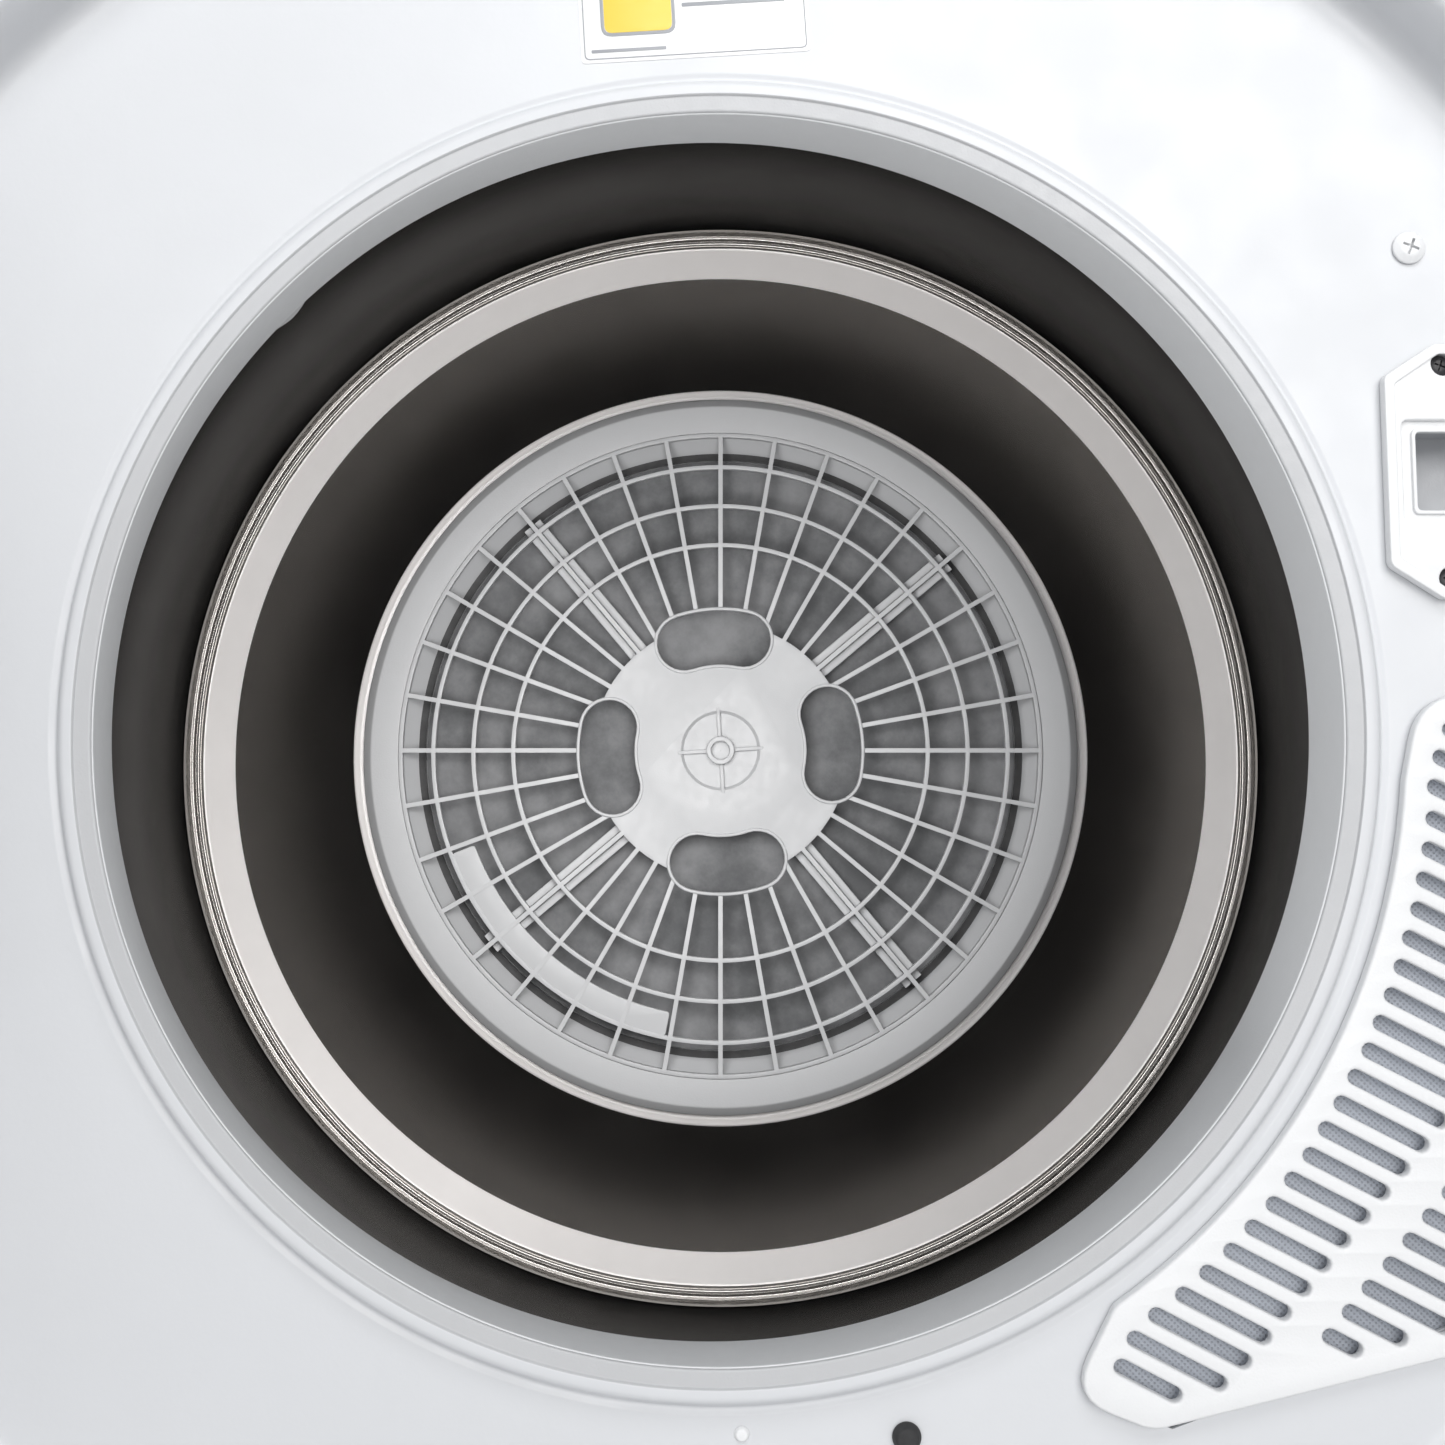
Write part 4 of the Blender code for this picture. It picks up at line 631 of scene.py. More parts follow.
# one stainless steel in three tones, as painted light: the wall is painted near black and its reflection is dimmed at
# grazing angles, as painted shade; the cone is painted a darker grey, as painted shade; the brushed band is painted
# nearly white, as a painted reflection of the bright room
EDGE_SHADE_TINT = (0.45, 0.45, 0.45, 1)
shaded_drum_steel = rolled_steel("Polished drum steel", (0.085, 0.083, 0.081), 0.20, 500, Specular_Tint=EDGE_SHADE_TINT)
shaded_cone_steel = rolled_steel("Spun cone steel", (0.36, 0.35, 0.34), 0.22, 500)
reflection_band_steel = rolled_steel("Bright rolled steel", (0.93, 0.905, 0.895), 0.34, 700, 0.000006, 0.12)
bright_steel = plated_steel("Bright plated steel", (0.66, 0.66, 0.67), 0.24)
zinc_sheet = zinc_coated("Galvanised sheet", (0.52, 0.54, 0.57))
print("steels made")

# %% Cloth, felt, glass and the small ones
def crossed_waves(material, density):
    """Waves along X times waves along Z, which is a grid of soft dots."""
    tree = material.node_tree
    split = node_of(material, "ShaderNodeSeparateXYZ", Vector=place_of(material)).outputs
    waves = [math_node(tree, "SINE", math_node(tree, "MULTIPLY", split[i], density), 0) for i in (0, 2)]
    return math_node(tree, "MULTIPLY", *waves)


def mixed(material, pattern, other, share):
    """A pattern, with a share of another one added."""
    tree = material.node_tree
    return math_node(tree, "ADD", pattern, math_node(tree, "MULTIPLY", other, share))


def filter_weave(name, dark, light):
    """Filter cloth: a fine woven screen whose threads cross every third of a millimetre, greyed by lint."""
    material = new_finish(name, dark, 0.75)
    weave = crossed_waves(material, 9500)
    lint = noise(material, place_of(material, centre=(0.05, 0, AXIS_Z + 0.03)), 16, 7, 0.68)
    tone = mixed(material, between(material, lint, 0.0, 0.8, 0.32, 0.72), weave, 0.10)
    wire(material, "Base Color", colours(material, tone, [(0.0, dark), (1.0, light)]))
    relief(material, weave, 0.00008)
    return material


def matted(name, colour):
    """Pressed felt: short fibres in every direction."""
    material = new_finish(name, colour, 0.95, Sheen_Weight=0.4, Sheen_Roughness=0.6)
    fibres = noise(material, place_of(material, (1, 3, 1)), 700, 8, 0.75, 1.5)
    tint(material, fibres, colour, [(0.3, 0.6), (0.7, 1.5)])
    relief(material, noise(material, place_of(material), 500, 8, 0.8), 0.0004)
    return material


def smoked_glass(name):
    """Toughened glass, tinted in the mass, with the faint waviness of pressing."""
    material = new_finish(name, (0.10, 0.105, 0.11), 0.03, IOR=1.5, Coat_Weight=0.3, Transmission_Weight=0.85)
    place = place_of(material)
    relief(material, noise(material, place, 7, 1), 0.0001, 0.15)
    gloss(material, noise(material, place, 60, 5), 0.02, 0.05)
    return material


def perforated(name, colour, pitch):
    """A painted screen with rows of small holes: the holes are dents in the relief, and painted shade darkens each one.
    """
    material = new_finish(name, colour, 0.55)
    holes = crossed_waves(material, 2 * math.pi / pitch)
    clouds = noise(material, place_of(material), 30, 4)
    # painted shade: the colour is darker at each hole, as the shade inside it, and the clouds add an uneven tone
    tone = mixed(material, between(material, holes, 0.35, 0.0, 0.35, 0.6), clouds, 0.6)
    tint(material, tone, colour, [(0.1, 0.62), (0.7, 1)])
    relief(material, between(material, holes, 1, 0, 0.3, 0.6), 0.0002)
    return material


def board_green(name):
    """A lacquered circuit board with the shadow of its copper tracks."""
    material = new_finish(name, (0.02, 0.16, 0.07), 0.3, Coat_Weight=0.5)
    lacquer = dict(Color1=(0.02, 0.14, 0.06, 1), Color2=(0.03, 0.22, 0.09, 1), Mortar=(0.10, 0.34, 0.14, 1))
    tracks = node_of(material, "ShaderNodeTexBrick", Vector=place_of(material), Scale=90.0, **lacquer)
    wire(material, "Base Color", tracks.outputs["Color"])
    return material


filter_cloth = filter_weave("Filter cloth", (0.078, 0.08, 0.084), (0.24, 0.243, 0.25))
grey_felt = matted("Grey felt", (0.16, 0.155, 0.15))
window_glass = smoked_glass("Smoked glass")
vent_screen_paint = perforated("Blue-grey screen", (0.50, 0.53, 0.59), 0.0016)
circuit_green = board_green("Circuit board")
heater_metal = plated_steel("Heater fins", (0.40, 0.38, 0.36), 0.45)
print("all finishes made")

# %% [markdown]
# ## The studio
# A plain pale floor and soft light from the upper right, as for a catalogue picture. The camera stands close
# in front of the open door, a little below the drum's axis, and looks slightly up. Its shift keeps the mouth
# in the middle of the picture while the camera points above it.

# %% Floor, light and camera
CAMERA_REACH = 0.450  # from the recess floor
CAMERA_DROP = 0.018  # below the drum's axis
CAMERA_PITCH = 5.3  # degrees upwards
LENS = 41.4809689  # focal length in millimetres, on a 36 mm sensor
LENS_SHIFT = -0.0626297578  # as a share of the picture


def studio_floor():
    bm = bmesh.new()
    bmesh.ops.create_grid(bm, x_segments=1, y_segments=1, size=6)
    floor = put("studio_floor", bm, (0, 0, cad_box[0].z - 0.0005))
    paint = new_finish("Pale floor", (0.80, 0.80, 0.80), 0.6)
    dust = noise(paint, place_of(paint), 3, 4)
    wire(paint, "Base Color", colours(paint, dust, [(0.3, (0.78, 0.78, 0.785)), (0.7, (0.82, 0.82, 0.82))]))
    floor.data.materials.append(paint)
    floor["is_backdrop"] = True


def soft_light(name, place, aim, size, power, colour=(1, 1, 1), hidden=False):
    lamp = bpy.data.lights.new(name, "AREA")
    lamp.shape = "RECTANGLE"
    lamp.size, lamp.size_y = size
    lamp.energy = power
    lamp.color = colour
    holder = linked(name, lamp)
    holder.location = place
    holder.rotation_euler = (Vector(aim) - Vector(place)).to_track_quat("-Z", "Y").to_euler()
    if hidden:  # a lamp inside the drum lights it but isn't seen
        holder.visible_camera = holder.visible_transmission = False


def studio_world(strength):
    world = bpy.data.worlds.new("Studio")
    bpy.context.scene.world = world
    world.use_nodes = True
    background = world.node_tree.nodes["Background"].inputs
    background["Color"].default_value = (0.93, 0.95, 1.0, 1)
    background["Strength"].default_value = strength


studio_floor()
studio_world(0.30)
soft_light("Key", (0.9, -4.0, 1.40), (0, 0.1, AXIS_Z), (2.0, 1.6), 66, (1, 0.985, 0.965))
soft_light("Fill", (-1.3, -3.4, 1.0), (0, 0.1, AXIS_Z), (1.5, 1.5), 20, (0.96, 0.98, 1))
soft_light("Top", (0.1, -0.85, 1.05), (0, FLOOR, AXIS_Z + 0.1), (0.6, 0.4), 3.0, (0.97, 0.985, 1))
soft_light("Low", (0.1, -2.6, 0.12), (0, FLOOR, AXIS_Z), (0.8, 0.4), 3, (1, 0.99, 0.98))
lamp_at = (-0.035, FLOOR + 0.045, AXIS_Z + 0.01)
soft_light("Drum", lamp_at, (-0.045, DRUM_BACK, AXIS_Z - 0.01), (0.18, 0.18), 1.5, (1, 0.99, 0.98), True)
under_lip = (0.02, FLOOR + 0.022, AXIS_Z - 0.09)
soft_light("Lip", under_lip, (0.02, FLOOR + 0.034, AXIS_Z + 0.17), (0.10, 0.02), 0.15, hidden=True)
soft_light("Back", (1.2, 2.6, 2.0), (0, 0, 0.5), (1.6, 1.2), 40)

lens = bpy.data.cameras.new("Camera")
lens.sensor_width = 36
lens.lens = LENS
lens.shift_y = LENS_SHIFT
lens.clip_start = 0.02
camera = linked("Camera", lens)
camera.location = (0.0010, FLOOR - CAMERA_REACH, AXIS_Z - CAMERA_DROP)
camera.rotation_euler = (math.radians(90 + CAMERA_PITCH), 0, 0)
bpy.context.scene.camera = camera
bpy.context.scene.view_settings.view_transform = "Standard"
print("camera lens", round(lens.lens, 2), "mm")

# %% [markdown]
# ## The pressed front panel
# One steel sheet makes the whole front: flat, then a round recess for the door, a flat floor, and a raised ring
# round the mouth. A lathe can't make it, because its outside is a rectangle. So the sheet is drawn as loops: the
# outer ones are rectangles, the inner ones circles, and each loop has as many points as the next. The corners
# of the rectangle are moved onto the nearest points, so they stay square.

# %% Loops for the panel
STEPS = 256


def circle_loop(radius, y, offset=0.0, steps=STEPS):
    return [
        (offset + radius * math.cos(2 * math.pi * i / steps), y, AXIS_Z + radius * math.sin(2 * math.pi * i / steps))
        for i in range(steps)
    ]


def frame_loop(half_width, low, high, y):
    points = []
    for i in range(STEPS):
        c, s = math.cos(2 * math.pi * i / STEPS), math.sin(2 * math.pi * i / STEPS)
        reach = min(
            half_width / abs(c) if abs(c) > 1e-9 else math.inf,
            (high - AXIS_Z) / s if s > 1e-9 else (low - AXIS_Z) / s if s < -1e-9 else math.inf,
        )
        points.append([reach * c, y, AXIS_Z + reach * s])
    for x, z in ((half_width, low), (half_width, high), (-half_width, low), (-half_width, high)):
        nearest = min(points, key=lambda p: (p[0] - x) ** 2 + (p[2] - z) ** 2)
        nearest[0], nearest[2] = x, z
    return points


RING_TOP = FLOOR - 0.006
back_y = FLOOR + SHEET
face_path = rounded(
    from_point(RECESS_RADIUS, FRONT, [(12.0, 0), (2.2, 0)])
    + [(RECESS_RADIUS, FLOOR)]
    + from_point(MOUTH_RADIUS, FLOOR, [(3.4, 0), (1.4, 0.9)])
    + from_point(MOUTH_RADIUS, RING_TOP, [(-1.6, 0), (-5.0, 0), (-5.4, 0.8), (-9.8, 0.8), (-10.0, 2.2)]),
    [0, 0.0045, 0.007, 0.002, 0.0016, 0.0026, 0.0005, 0.0004, 0.0010, 0],
    6,
    closed=False,
)
back_path = rounded(
    from_point(MOUTH_RADIUS, RING_TOP, [(-8.8, 2.2), (-3.0, 1.8)])
    + [(MOUTH_RADIUS + 0.0006, back_y), (RECESS_RADIUS + 0.0012, back_y)]
    + from_point(RECESS_RADIUS, FRONT + SHEET, [(3.4, 0), (12.0, 0)]),
    [0, 0.001, 0.001, 0.008, 0.003, 0],
    4,
    closed=False,
)

# %% [markdown]
# ## The vent grille and its slots
# Warm air enters the drum through a grille low on the right of the recess. Its outline follows the mouth on one
# side and the recess wall on the other. The slots are straight, slanted and evenly spaced, in two columns with a
# rib between them, so they can be worked out: walk along each slanted line, and keep the stretches that lie
# inside the outline and off the rib.

# %% Where the slots go
VENT_INNER = MOUTH_RADIUS + 0.0062
VENT_OUTER = RECESS_RADIUS - 0.012
VENT_FOOT, VENT_HEAD = -60.0, 2.0
SLOT_ANGLE = -27.0
SLOT_PITCH = 0.00784
SLOT_WIDTH = 0.0041
SLOT_MARGIN = 0.0062
RIB_WIDTH = 0.0088
RIB_ANGLE = 48.6


def vent_outline(inset=0.0, corner=0.0):
    inner, outer = VENT_INNER + inset, VENT_OUTER - inset
    trim = math.degrees(inset / inner)
    foot, head = VENT_FOOT + trim, VENT_HEAD - trim
    inner_side = arc(inner, head - 7.0, foot + 4.0, 24)
    outer_side = arc(outer, foot + 20.5, head + 0.5, 20)
    corners = [polar(inner + 0.0135, foot - 2.6), polar(inner + 0.031, foot + 1.4)]
    top = [polar(inner + 0.052, head + 1.0), polar(inner + 0.004, head - 0.5)]
    points = inner_side + corners + outer_side + top
    radii = [0] * len(inner_side) + [corner, corner] + [0] * len(outer_side) + [corner, 1.5 * corner]
    radii[len(inner_side) - 1] = corner / 2
    radii[len(inner_side) + 2] = corner
    return rounded(points, radii, 6)


def is_inside(outline, u, v):
    found = False
    for (u1, v1), (u2, v2) in zip(outline, outline[1:] + outline[:1]):
        if (v1 > v) != (v2 > v) and u < (u2 - u1) * (v - v1) / (v2 - v1) + u1:
            found = not found
    return found


def is_clear(outline, u, v, margin):
    """Whether a circle of this radius about the point fits inside the outline."""
    if u < 0 or not VENT_INNER < math.hypot(u, v) < VENT_OUTER:
        return False
    return all(is_inside(outline, u + du, v + dv) for du, dv in arc(margin, 0, 315, 7))


def slot_runs(step=0.0004):
    """The two ends of each slot."""
    border = vent_outline(0, 0.012)
    d = polar(1, SLOT_ANGLE)
    rib_at = polar((VENT_INNER + VENT_OUTER) / 2, (VENT_FOOT + VENT_HEAD) / 2 - 5)
    rib = polar(1, RIB_ANGLE)
    runs = []
    for line in range(-40, 60):
        run = []
        for k in range(1100):
            u = -line * SLOT_PITCH * d[1] + k * step * d[0]
            v = line * SLOT_PITCH * d[0] + k * step * d[1]
            off_rib = abs((u - rib_at[0]) * rib[1] - (v - rib_at[1]) * rib[0]) > RIB_WIDTH / 2
            if off_rib and is_clear(border, u, v, SLOT_MARGIN):
                run.append((u, v))
            elif run:
                runs.append((run[0], run[-1]))
                run = []
    return [(a, b) for a, b in runs if math.dist(a, b) > 1.6 * SLOT_WIDTH]


def capsule(a, b, width, steps=6):
    """A slot's outline, with round ends at a and b."""
    turn = math.degrees(math.atan2(b[1] - a[1], b[0] - a[0]))
    pull = Vector((b[0] - a[0], b[1] - a[1])).normalized() * (width / 2)
    start, end = (a[0] + pull.x, a[1] + pull.y), (b[0] - pull.x, b[1] - pull.y)
    return arc(width / 2, turn - 90, turn + 90, steps, end) + arc(width / 2, turn + 90, turn + 270, steps, start)


slots = slot_runs()
print(len(slots), "slots in the vent grille")

# %% The panel, the grille and the screen behind it
low, high = span("front_panel", "Z")
half = span("front_panel", "X")[1]
insets = ((0.0012, 0.0008), (0.0030, 0.0026))
panel_loops = [frame_loop(half - side, low + end, high - end, FRONT) for side, end in insets]
panel_loops += [circle_loop(radius, y) for radius, y in face_path + back_path]
panel_loops += [frame_loop(half, low, high, FRONT + SHEET), frame_loop(half, low, high, FRONT + 0.0006)]
front_panel = loft("pressed_front", panel_loops)
LATCH = Vector((0.204, 0.0675))
openings = {"vent_hole": vent_outline(0.004), "latch_hole": moved(rectangle(0.0165, 0.0135), *LATCH)}
cut = FLOOR - 0.004, FLOOR + 0.006
carve(front_panel, *[plate(name, [shape], *cut, soften=0) for name, shape in openings.items()])
dress(front_panel, white_enamel, "cabinet", "white_enamel", "front_panel")
front_panel.data.materials.append(ring_grey)
for polygon in front_panel.data.polygons:
    radius = math.hypot(polygon.center.x, polygon.center.z - AXIS_Z)
    if radius < MOUTH_RADIUS - 0.0049 and polygon.center.y < RING_TOP + 0.004:
        polygon.material_index = 1

face = FLOOR - SEAT
grille_outlines = [vent_outline(0, 0.012)] + [capsule(a, b, SLOT_WIDTH) for a, b in slots]
grille = plate("vent_grille_slotted", grille_outlines, face - 0.004, face, soften=0.0008)
dress(grille, white_plastic, "cabinet", "white_plastic", "vent_grille")
screen = plate("vent_screen_sheet", [vent_outline(0.003)], *span("vent_screen", "Y"), soften=0.0003)
dress(screen, vent_screen_paint, "cabinet", "screen_metal", "vent_screen")
print("front panel has", len(front_panel.data.polygons), "faces")

# %% [markdown]
# ## The mouth collar
# A moulded ring closes the gap between the pressed ring and the drum. Its lip isn't quite concentric: it sits
# a little towards the hinge, so the visible wall is wider on the right. It is drawn with loops again, because
# the loops can drift sideways as they go back.

# %% Collar
collar_low, collar_high = span("mouth_collar", "Y")
THROAT = MOUTH_RADIUS - 0.010
front_edge = [(THROAT - 0.0003, collar_low), (THROAT + 0.0026, collar_low)]
back_edge = [(THROAT + 0.0009, collar_high), (THROAT + 0.0031, collar_high)]
collar_corners = [front_edge[0], *back_edge, front_edge[1]]
collar_path = rounded(collar_corners, [0.0006, 0.0011, 0.0008, 0.0005], 4)
drift = -0.0025 / (collar_high - collar_low)
collar = loft("mouth_collar_ring", [circle_loop(radius, y, drift * (y - collar_low)) for radius, y in collar_path])
dress(collar, collar_grey, "cabinet", "pale_grey_plastic", "mouth_collar")

# %% [markdown]
# ## The drum
# The drum is rolled from thin stainless steel. Its back is spun: three beads where it meets the wall, a flat
# bright band, a cone that comes towards the door, and a hemmed edge round the filter. A spun part is exactly
# what a turned outline describes. The band and the hem are the same steel as the cone, so they are drawn in the
# same mesh. Their faces get a near-white finish, a painted reflection, and the wall and the cone are painted dark, as
# painted shade.

# %% Drum wall and back
thin = DRUM_RADIUS - 0.0010
wall_corners = [(thin, DRUM_FRONT), (DRUM_RADIUS, DRUM_FRONT), (DRUM_RADIUS, DRUM_BACK), (thin, DRUM_BACK)]
wall = turned("drum_wall", rounded(wall_corners, 0.0004, 2), steps=256)
# the wall's near-black steel is painted shade
dress(wall, shaded_drum_steel, "drum", "stainless", "drum_shell")

OPENING = span("filter_tray", "X")[1] + SEAT
BAND_Y = DRUM_BACK - 0.003
NECK_Y = BAND_Y - 0.038
in_wall = DRUM_RADIUS - 0.001 - SEAT
band, cone, neck = in_wall - 0.0090, in_wall - 0.0259, OPENING + 0.0059
sheet = 0.0011
# three beads, as steps inwards from the wall and towards the door
BEADS = [(-1.1, -8.0), (-1.1, -1.2), (-2.2, -1.2), (-2.6, -3.6), (-3.6, -3.6), (-4.1, -1.2), (-5.2, -1.2)]
BEADS += [(-5.6, -4.0), (-6.7, -4.0), (-7.3, -1.4), (-8.5, -1.4)]
front_side = rounded(
    from_point(in_wall, DRUM_BACK, BEADS)
    + [(band, BAND_Y - 0.0006), (band - 0.0005, BAND_Y), (cone, BAND_Y)]
    + from_point(neck, NECK_Y, [(0.8, 0.4), (0, -0.6)])
    + from_point(OPENING, NECK_Y, [(3.0, -2.0), (0.4, -1.6), (0.2, 0.4)]),
    [0, 0.0008] + [0.0005] * 9 + [0.0004, 0.0004, 0.0012, 0.0006, 0.0008, 0.0016, 0.0008, 0],
    4,
    closed=False,
)
back_side = [(OPENING + 0.0013, NECK_Y + 0.0004), (neck, NECK_Y + 0.0014)]
back_side += [(cone - 0.0003, BAND_Y + sheet), (band + 0.0004, BAND_Y + sheet)]
back_side += [(in_wall, DRUM_BACK + 0.0005), (in_wall, DRUM_BACK - 0.008)]
drum_back = turned("drum_back", front_side + back_side, steps=256)
# the cone's darker grey steel is painted shade
dress(drum_back, shaded_cone_steel, "drum", "stainless", "drum_rear_wall")
drum_back.data.materials.append(reflection_band_steel)
bright = 0
# the band's and the hem's faces get the near-white steel, a painted reflection
for polygon in drum_back.data.polygons:
    radius = math.hypot(polygon.center.x, polygon.center.z - AXIS_Z)
    on_band = cone - 0.0002 < radius < band + 0.0006 and polygon.center.y < BAND_Y + 0.0003
    on_hem = radius < neck + 0.0005 and polygon.center.y < NECK_Y + 0.0003
    if on_band or on_hem:
        polygon.material_index = 1
        bright += 1
print("bright faces on the drum's back:", bright)

# %% [markdown]
# ## Lifters
# Three hollow paddles inside the drum carry the laundry up. From the door they hide in front of the rear wall, but
# their light streaks show in the polished cone. One paddle is lofted from a few sections and softened by a
# subdivision surface, and Geometry Nodes turn copies of it round the drum.

# %% One paddle, three times
lifter_low, lifter_high = span("drum_lifter_1", "Y")
LIFTER_HEIGHT = 0.0325
# how far up and how far sideways a section goes, from one foot over the crest to the other
slope = [(0, 0.0232), (0.10, 0.0215), (0.55, 0.0145), (0.97, 0.0075)]
SECTION = [(up, -side) for up, side in slope] + [(1.0, 0)] + slope[::-1]
# along the paddle: the share of its length, of its height and of its width
SHARES = [(0, 0.05, 0.62), (0.02, 0.45, 0.80), (0.08, 0.97, 0.98), (0.4, 1, 1)]
SHARES += [(0.55, 0.97, 1), (0.70, 0.50, 0.9), (0.88, 0.16, 0.78), (1, 0.04, 0.66)]


def paddle(name):
    flat = (DRUM_RADIUS - 0.001) * math.cos(math.pi / 40) - SEAT
    floor = math.sqrt(flat**2 - 0.024**2)
    loops = []
    for share, rise, spread in SHARES:
        y = lifter_low + (lifter_high - lifter_low) * share
        loops.append([(floor - LIFTER_HEIGHT * rise * up, y, side * spread) for up, side in SECTION])
    made = loft(name, loops, False, (0, 0, AXIS_Z), 50)
    modifier = made.modifiers.new("Round", "SUBSURF")
    modifier.levels = modifier.render_levels = 2
    return settle(made)


for number, angle in enumerate((15, 135, 255), start=1):
    one = about_axis(f"lifter_{number}", paddle("paddle"), 1, lifter_grey, start=math.radians(angle))
    dress(one, lifter_grey, "drum", "pale_grey_plastic", f"drum_lifter_{number}")

# %% [markdown]
# ## The lint filter
# The filter is a shallow dish in the drum's back. A flange and a sloping wall hold the woven cloth, and a round
# cover with thin spokes and rings protects it. The cover is one moulding, so it is drawn on a polar grid: rings
# and spokes are faces, the cells between them are left empty, and the whole is given thickness at once. That
# keeps its walls clean, with no pieces pushed through each other.

# %% Dish and cloth
TRAY_Y = span("filter_tray", "Y")[0]
MESH_Y, MESH_BACK = span("filter_mesh", "Y")
MESH_RADIUS = span("filter_mesh", "X")[1]
GRILLE_RADIUS = span("filter_grille", "X")[1]
tray_outer = OPENING - SEAT
dish_profile = rounded(
    [(GRILLE_RADIUS + 0.0003, TRAY_Y), (tray_outer - 0.0046, TRAY_Y), (tray_outer, TRAY_Y + 0.0045)]
    + [(tray_outer, MESH_Y + 0.003)]
    + from_point(MESH_RADIUS, MESH_Y, [(-4.0, 3.0), (-4.0, 1.5), (0.2, 1.5), (0.2, -0.2), (3.5, -0.6)])
    + [(GRILLE_RADIUS + 0.0002, TRAY_Y + 0.0040)],
    [0.0005, 0.0018, 0.0018, 0.0008, 0.0006, 0.0002, 0.0002, 0.0005, 0.001, 0.0006],
    4,
)
dress(turned("filter_dish", dish_profile, steps=256), filter_grey, "drum", "grey_plastic", "filter_tray")
cloth_radius = MESH_RADIUS - 0.0002
cloth_profile = [(0, MESH_Y), (cloth_radius, MESH_Y), (cloth_radius, MESH_BACK), (0, MESH_BACK)]
cloth = turned("filter_cloth_disc", cloth_profile, steps=128)
dress(cloth, filter_cloth, "drum", "filter_cloth", "filter_mesh")

# %% The cover's grid
GRILLE_FRONT = TRAY_Y - 0.001
SPOKES = 36
SPOKE_WIDTH = 0.0022
HUB_RADIUS = 0.0642
BAR = 0.0010  # half the width of a ring


def cover_grid(name):
    rings = [HUB_RADIUS - BAR, 0.104, 0.124, 0.1441, GRILLE_RADIUS - BAR]
    edges = [edge for ring in rings for edge in (ring - BAR, ring + BAR)]
    pieces = 4  # straight runs that each arc between two spokes is made of
    bm = bmesh.new()
    grid = []
    for radius in edges:
        lean = math.degrees(math.asin(SPOKE_WIDTH / 2 / radius))
        row = []
        for i in range(SPOKES):
            middle = 90 + i * 360 / SPOKES
            gap = 360 / SPOKES - 2 * lean
            angles = [middle - lean] + [middle + lean + gap * k / pieces for k in range(pieces)]
            row += [bm.verts.new(along("Y", *polar(radius, angle), GRILLE_FRONT)) for angle in angles]
        grid.append(row)
    count = len(grid[0])
    faces = [bm.faces.new(grid[0])]
    for step, (row, following) in enumerate(zip(grid, grid[1:])):
        for i in range(count):
            if step % 2 == 0 or i % (pieces + 1) == 0:
                j = (i + 1) % count
                faces.append(bm.faces.new((row[i], row[j], following[j], following[i])))
    made = bmesh.ops.extrude_face_region(bm, geom=faces)["geom"]
    new = [v for v in made if isinstance(v, bmesh.types.BMVert)]
    bmesh.ops.translate(bm, verts=new, vec=(0, 0.0036, 0))
    return put(name, bm, (0, 0, AXIS_Z), 40)


TURN = 3.5  # degrees that the hub's pattern is turned by
KIDNEY_IN, KIDNEY_OUT = 0.0432, 0.0706
KIDNEY_HALF = 15.2  # degrees from a window's middle to the middle of its round end


def kidney(angle, grow=0.0):
    """A window bent round the hub: a slot whose middle line is an arc, with full round ends."""
    middle, width = (KIDNEY_IN + KIDNEY_OUT) / 2, (KIDNEY_OUT - KIDNEY_IN) / 2 + grow
    first, last = angle - KIDNEY_HALF, angle + KIDNEY_HALF
    outside = arc(middle + width, first, last, 14)
    inside = arc(middle - width, last, first, 10)
    left = arc(width, last, last + 180, 14, polar(middle, last))[1:-1]
    right = arc(width, first + 180, first + 360, 14, polar(middle, first))[1:-1]
    return outside + left + inside + right


# %% Hub, windows and boss
def boss(name, corners, size, steps=48):
    """A turned piece in the hub: its corners in millimetres from the middle of the cover's front."""
    outline = from_point(0, GRILLE_FRONT, corners)
    return turned(name, rounded(outline, size) if size else outline, steps=steps)


cover = cover_grid("filter_cover_moulding")
angles = [TURN + 90 * i for i in range(4)]
cut = GRILLE_FRONT - 0.01, GRILLE_FRONT + 0.01
carve(cover, *[plate(f"window_{a}", [kidney(a, 0.0004)], *cut, soften=0) for a in angles])
carve(cover, boss("boss_well", [(0, -1.0), (20.5, -1.0), (18.5, 2.4), (0, 2.4)], 0, 96))
bevelled(cover, 0.00045, 2, 50)
depth = GRILLE_FRONT - 0.0012, GRILLE_FRONT + 0.0036
rims = [plate(f"rim_{a}", [kidney(a, 0.0016), kidney(a)], *depth, soften=0.0005) for a in angles]
rib_low, rib_high = (0.0062, GRILLE_FRONT - 0.0002, -0.0009), (0.0215, GRILLE_FRONT + 0.0028, 0.0009)
rib = solid("boss_rib", rib_low, rib_high, 0.0004, 2, (0, 0, AXIS_Z))
ribs = about_axis("boss_ribs", rib, 4, filter_grey, start=math.radians(TURN))
tube = boss("boss_tube", [(4.6, -3.0), (7.0, -3.0), (7.0, 3.0), (4.6, 3.0)], 0.0006)
bottom = boss("boss_floor", [(0.1, 2.2), (5.0, 2.2), (5.0, 3.4), (0.1, 3.4)], 0.0002)
plaque_sides = arc(0.1436, 201, 259, 40) + arc(0.1316, 259, 201, 40)
plaque_outline = rounded(plaque_sides, [0.002] + [0] * 39 + [0.002] * 2 + [0] * 39 + [0.002], 3)
plaque = plate("blank_plaque", [plaque_outline], GRILLE_FRONT + 0.0006, GRILLE_FRONT + 0.0026, soften=0.0003)
cover = merged("filter_cover", [cover, *rims, ribs, tube, bottom, plaque])
dress(cover, filter_grey, "filter_cover", "grey_plastic", "filter_grille")
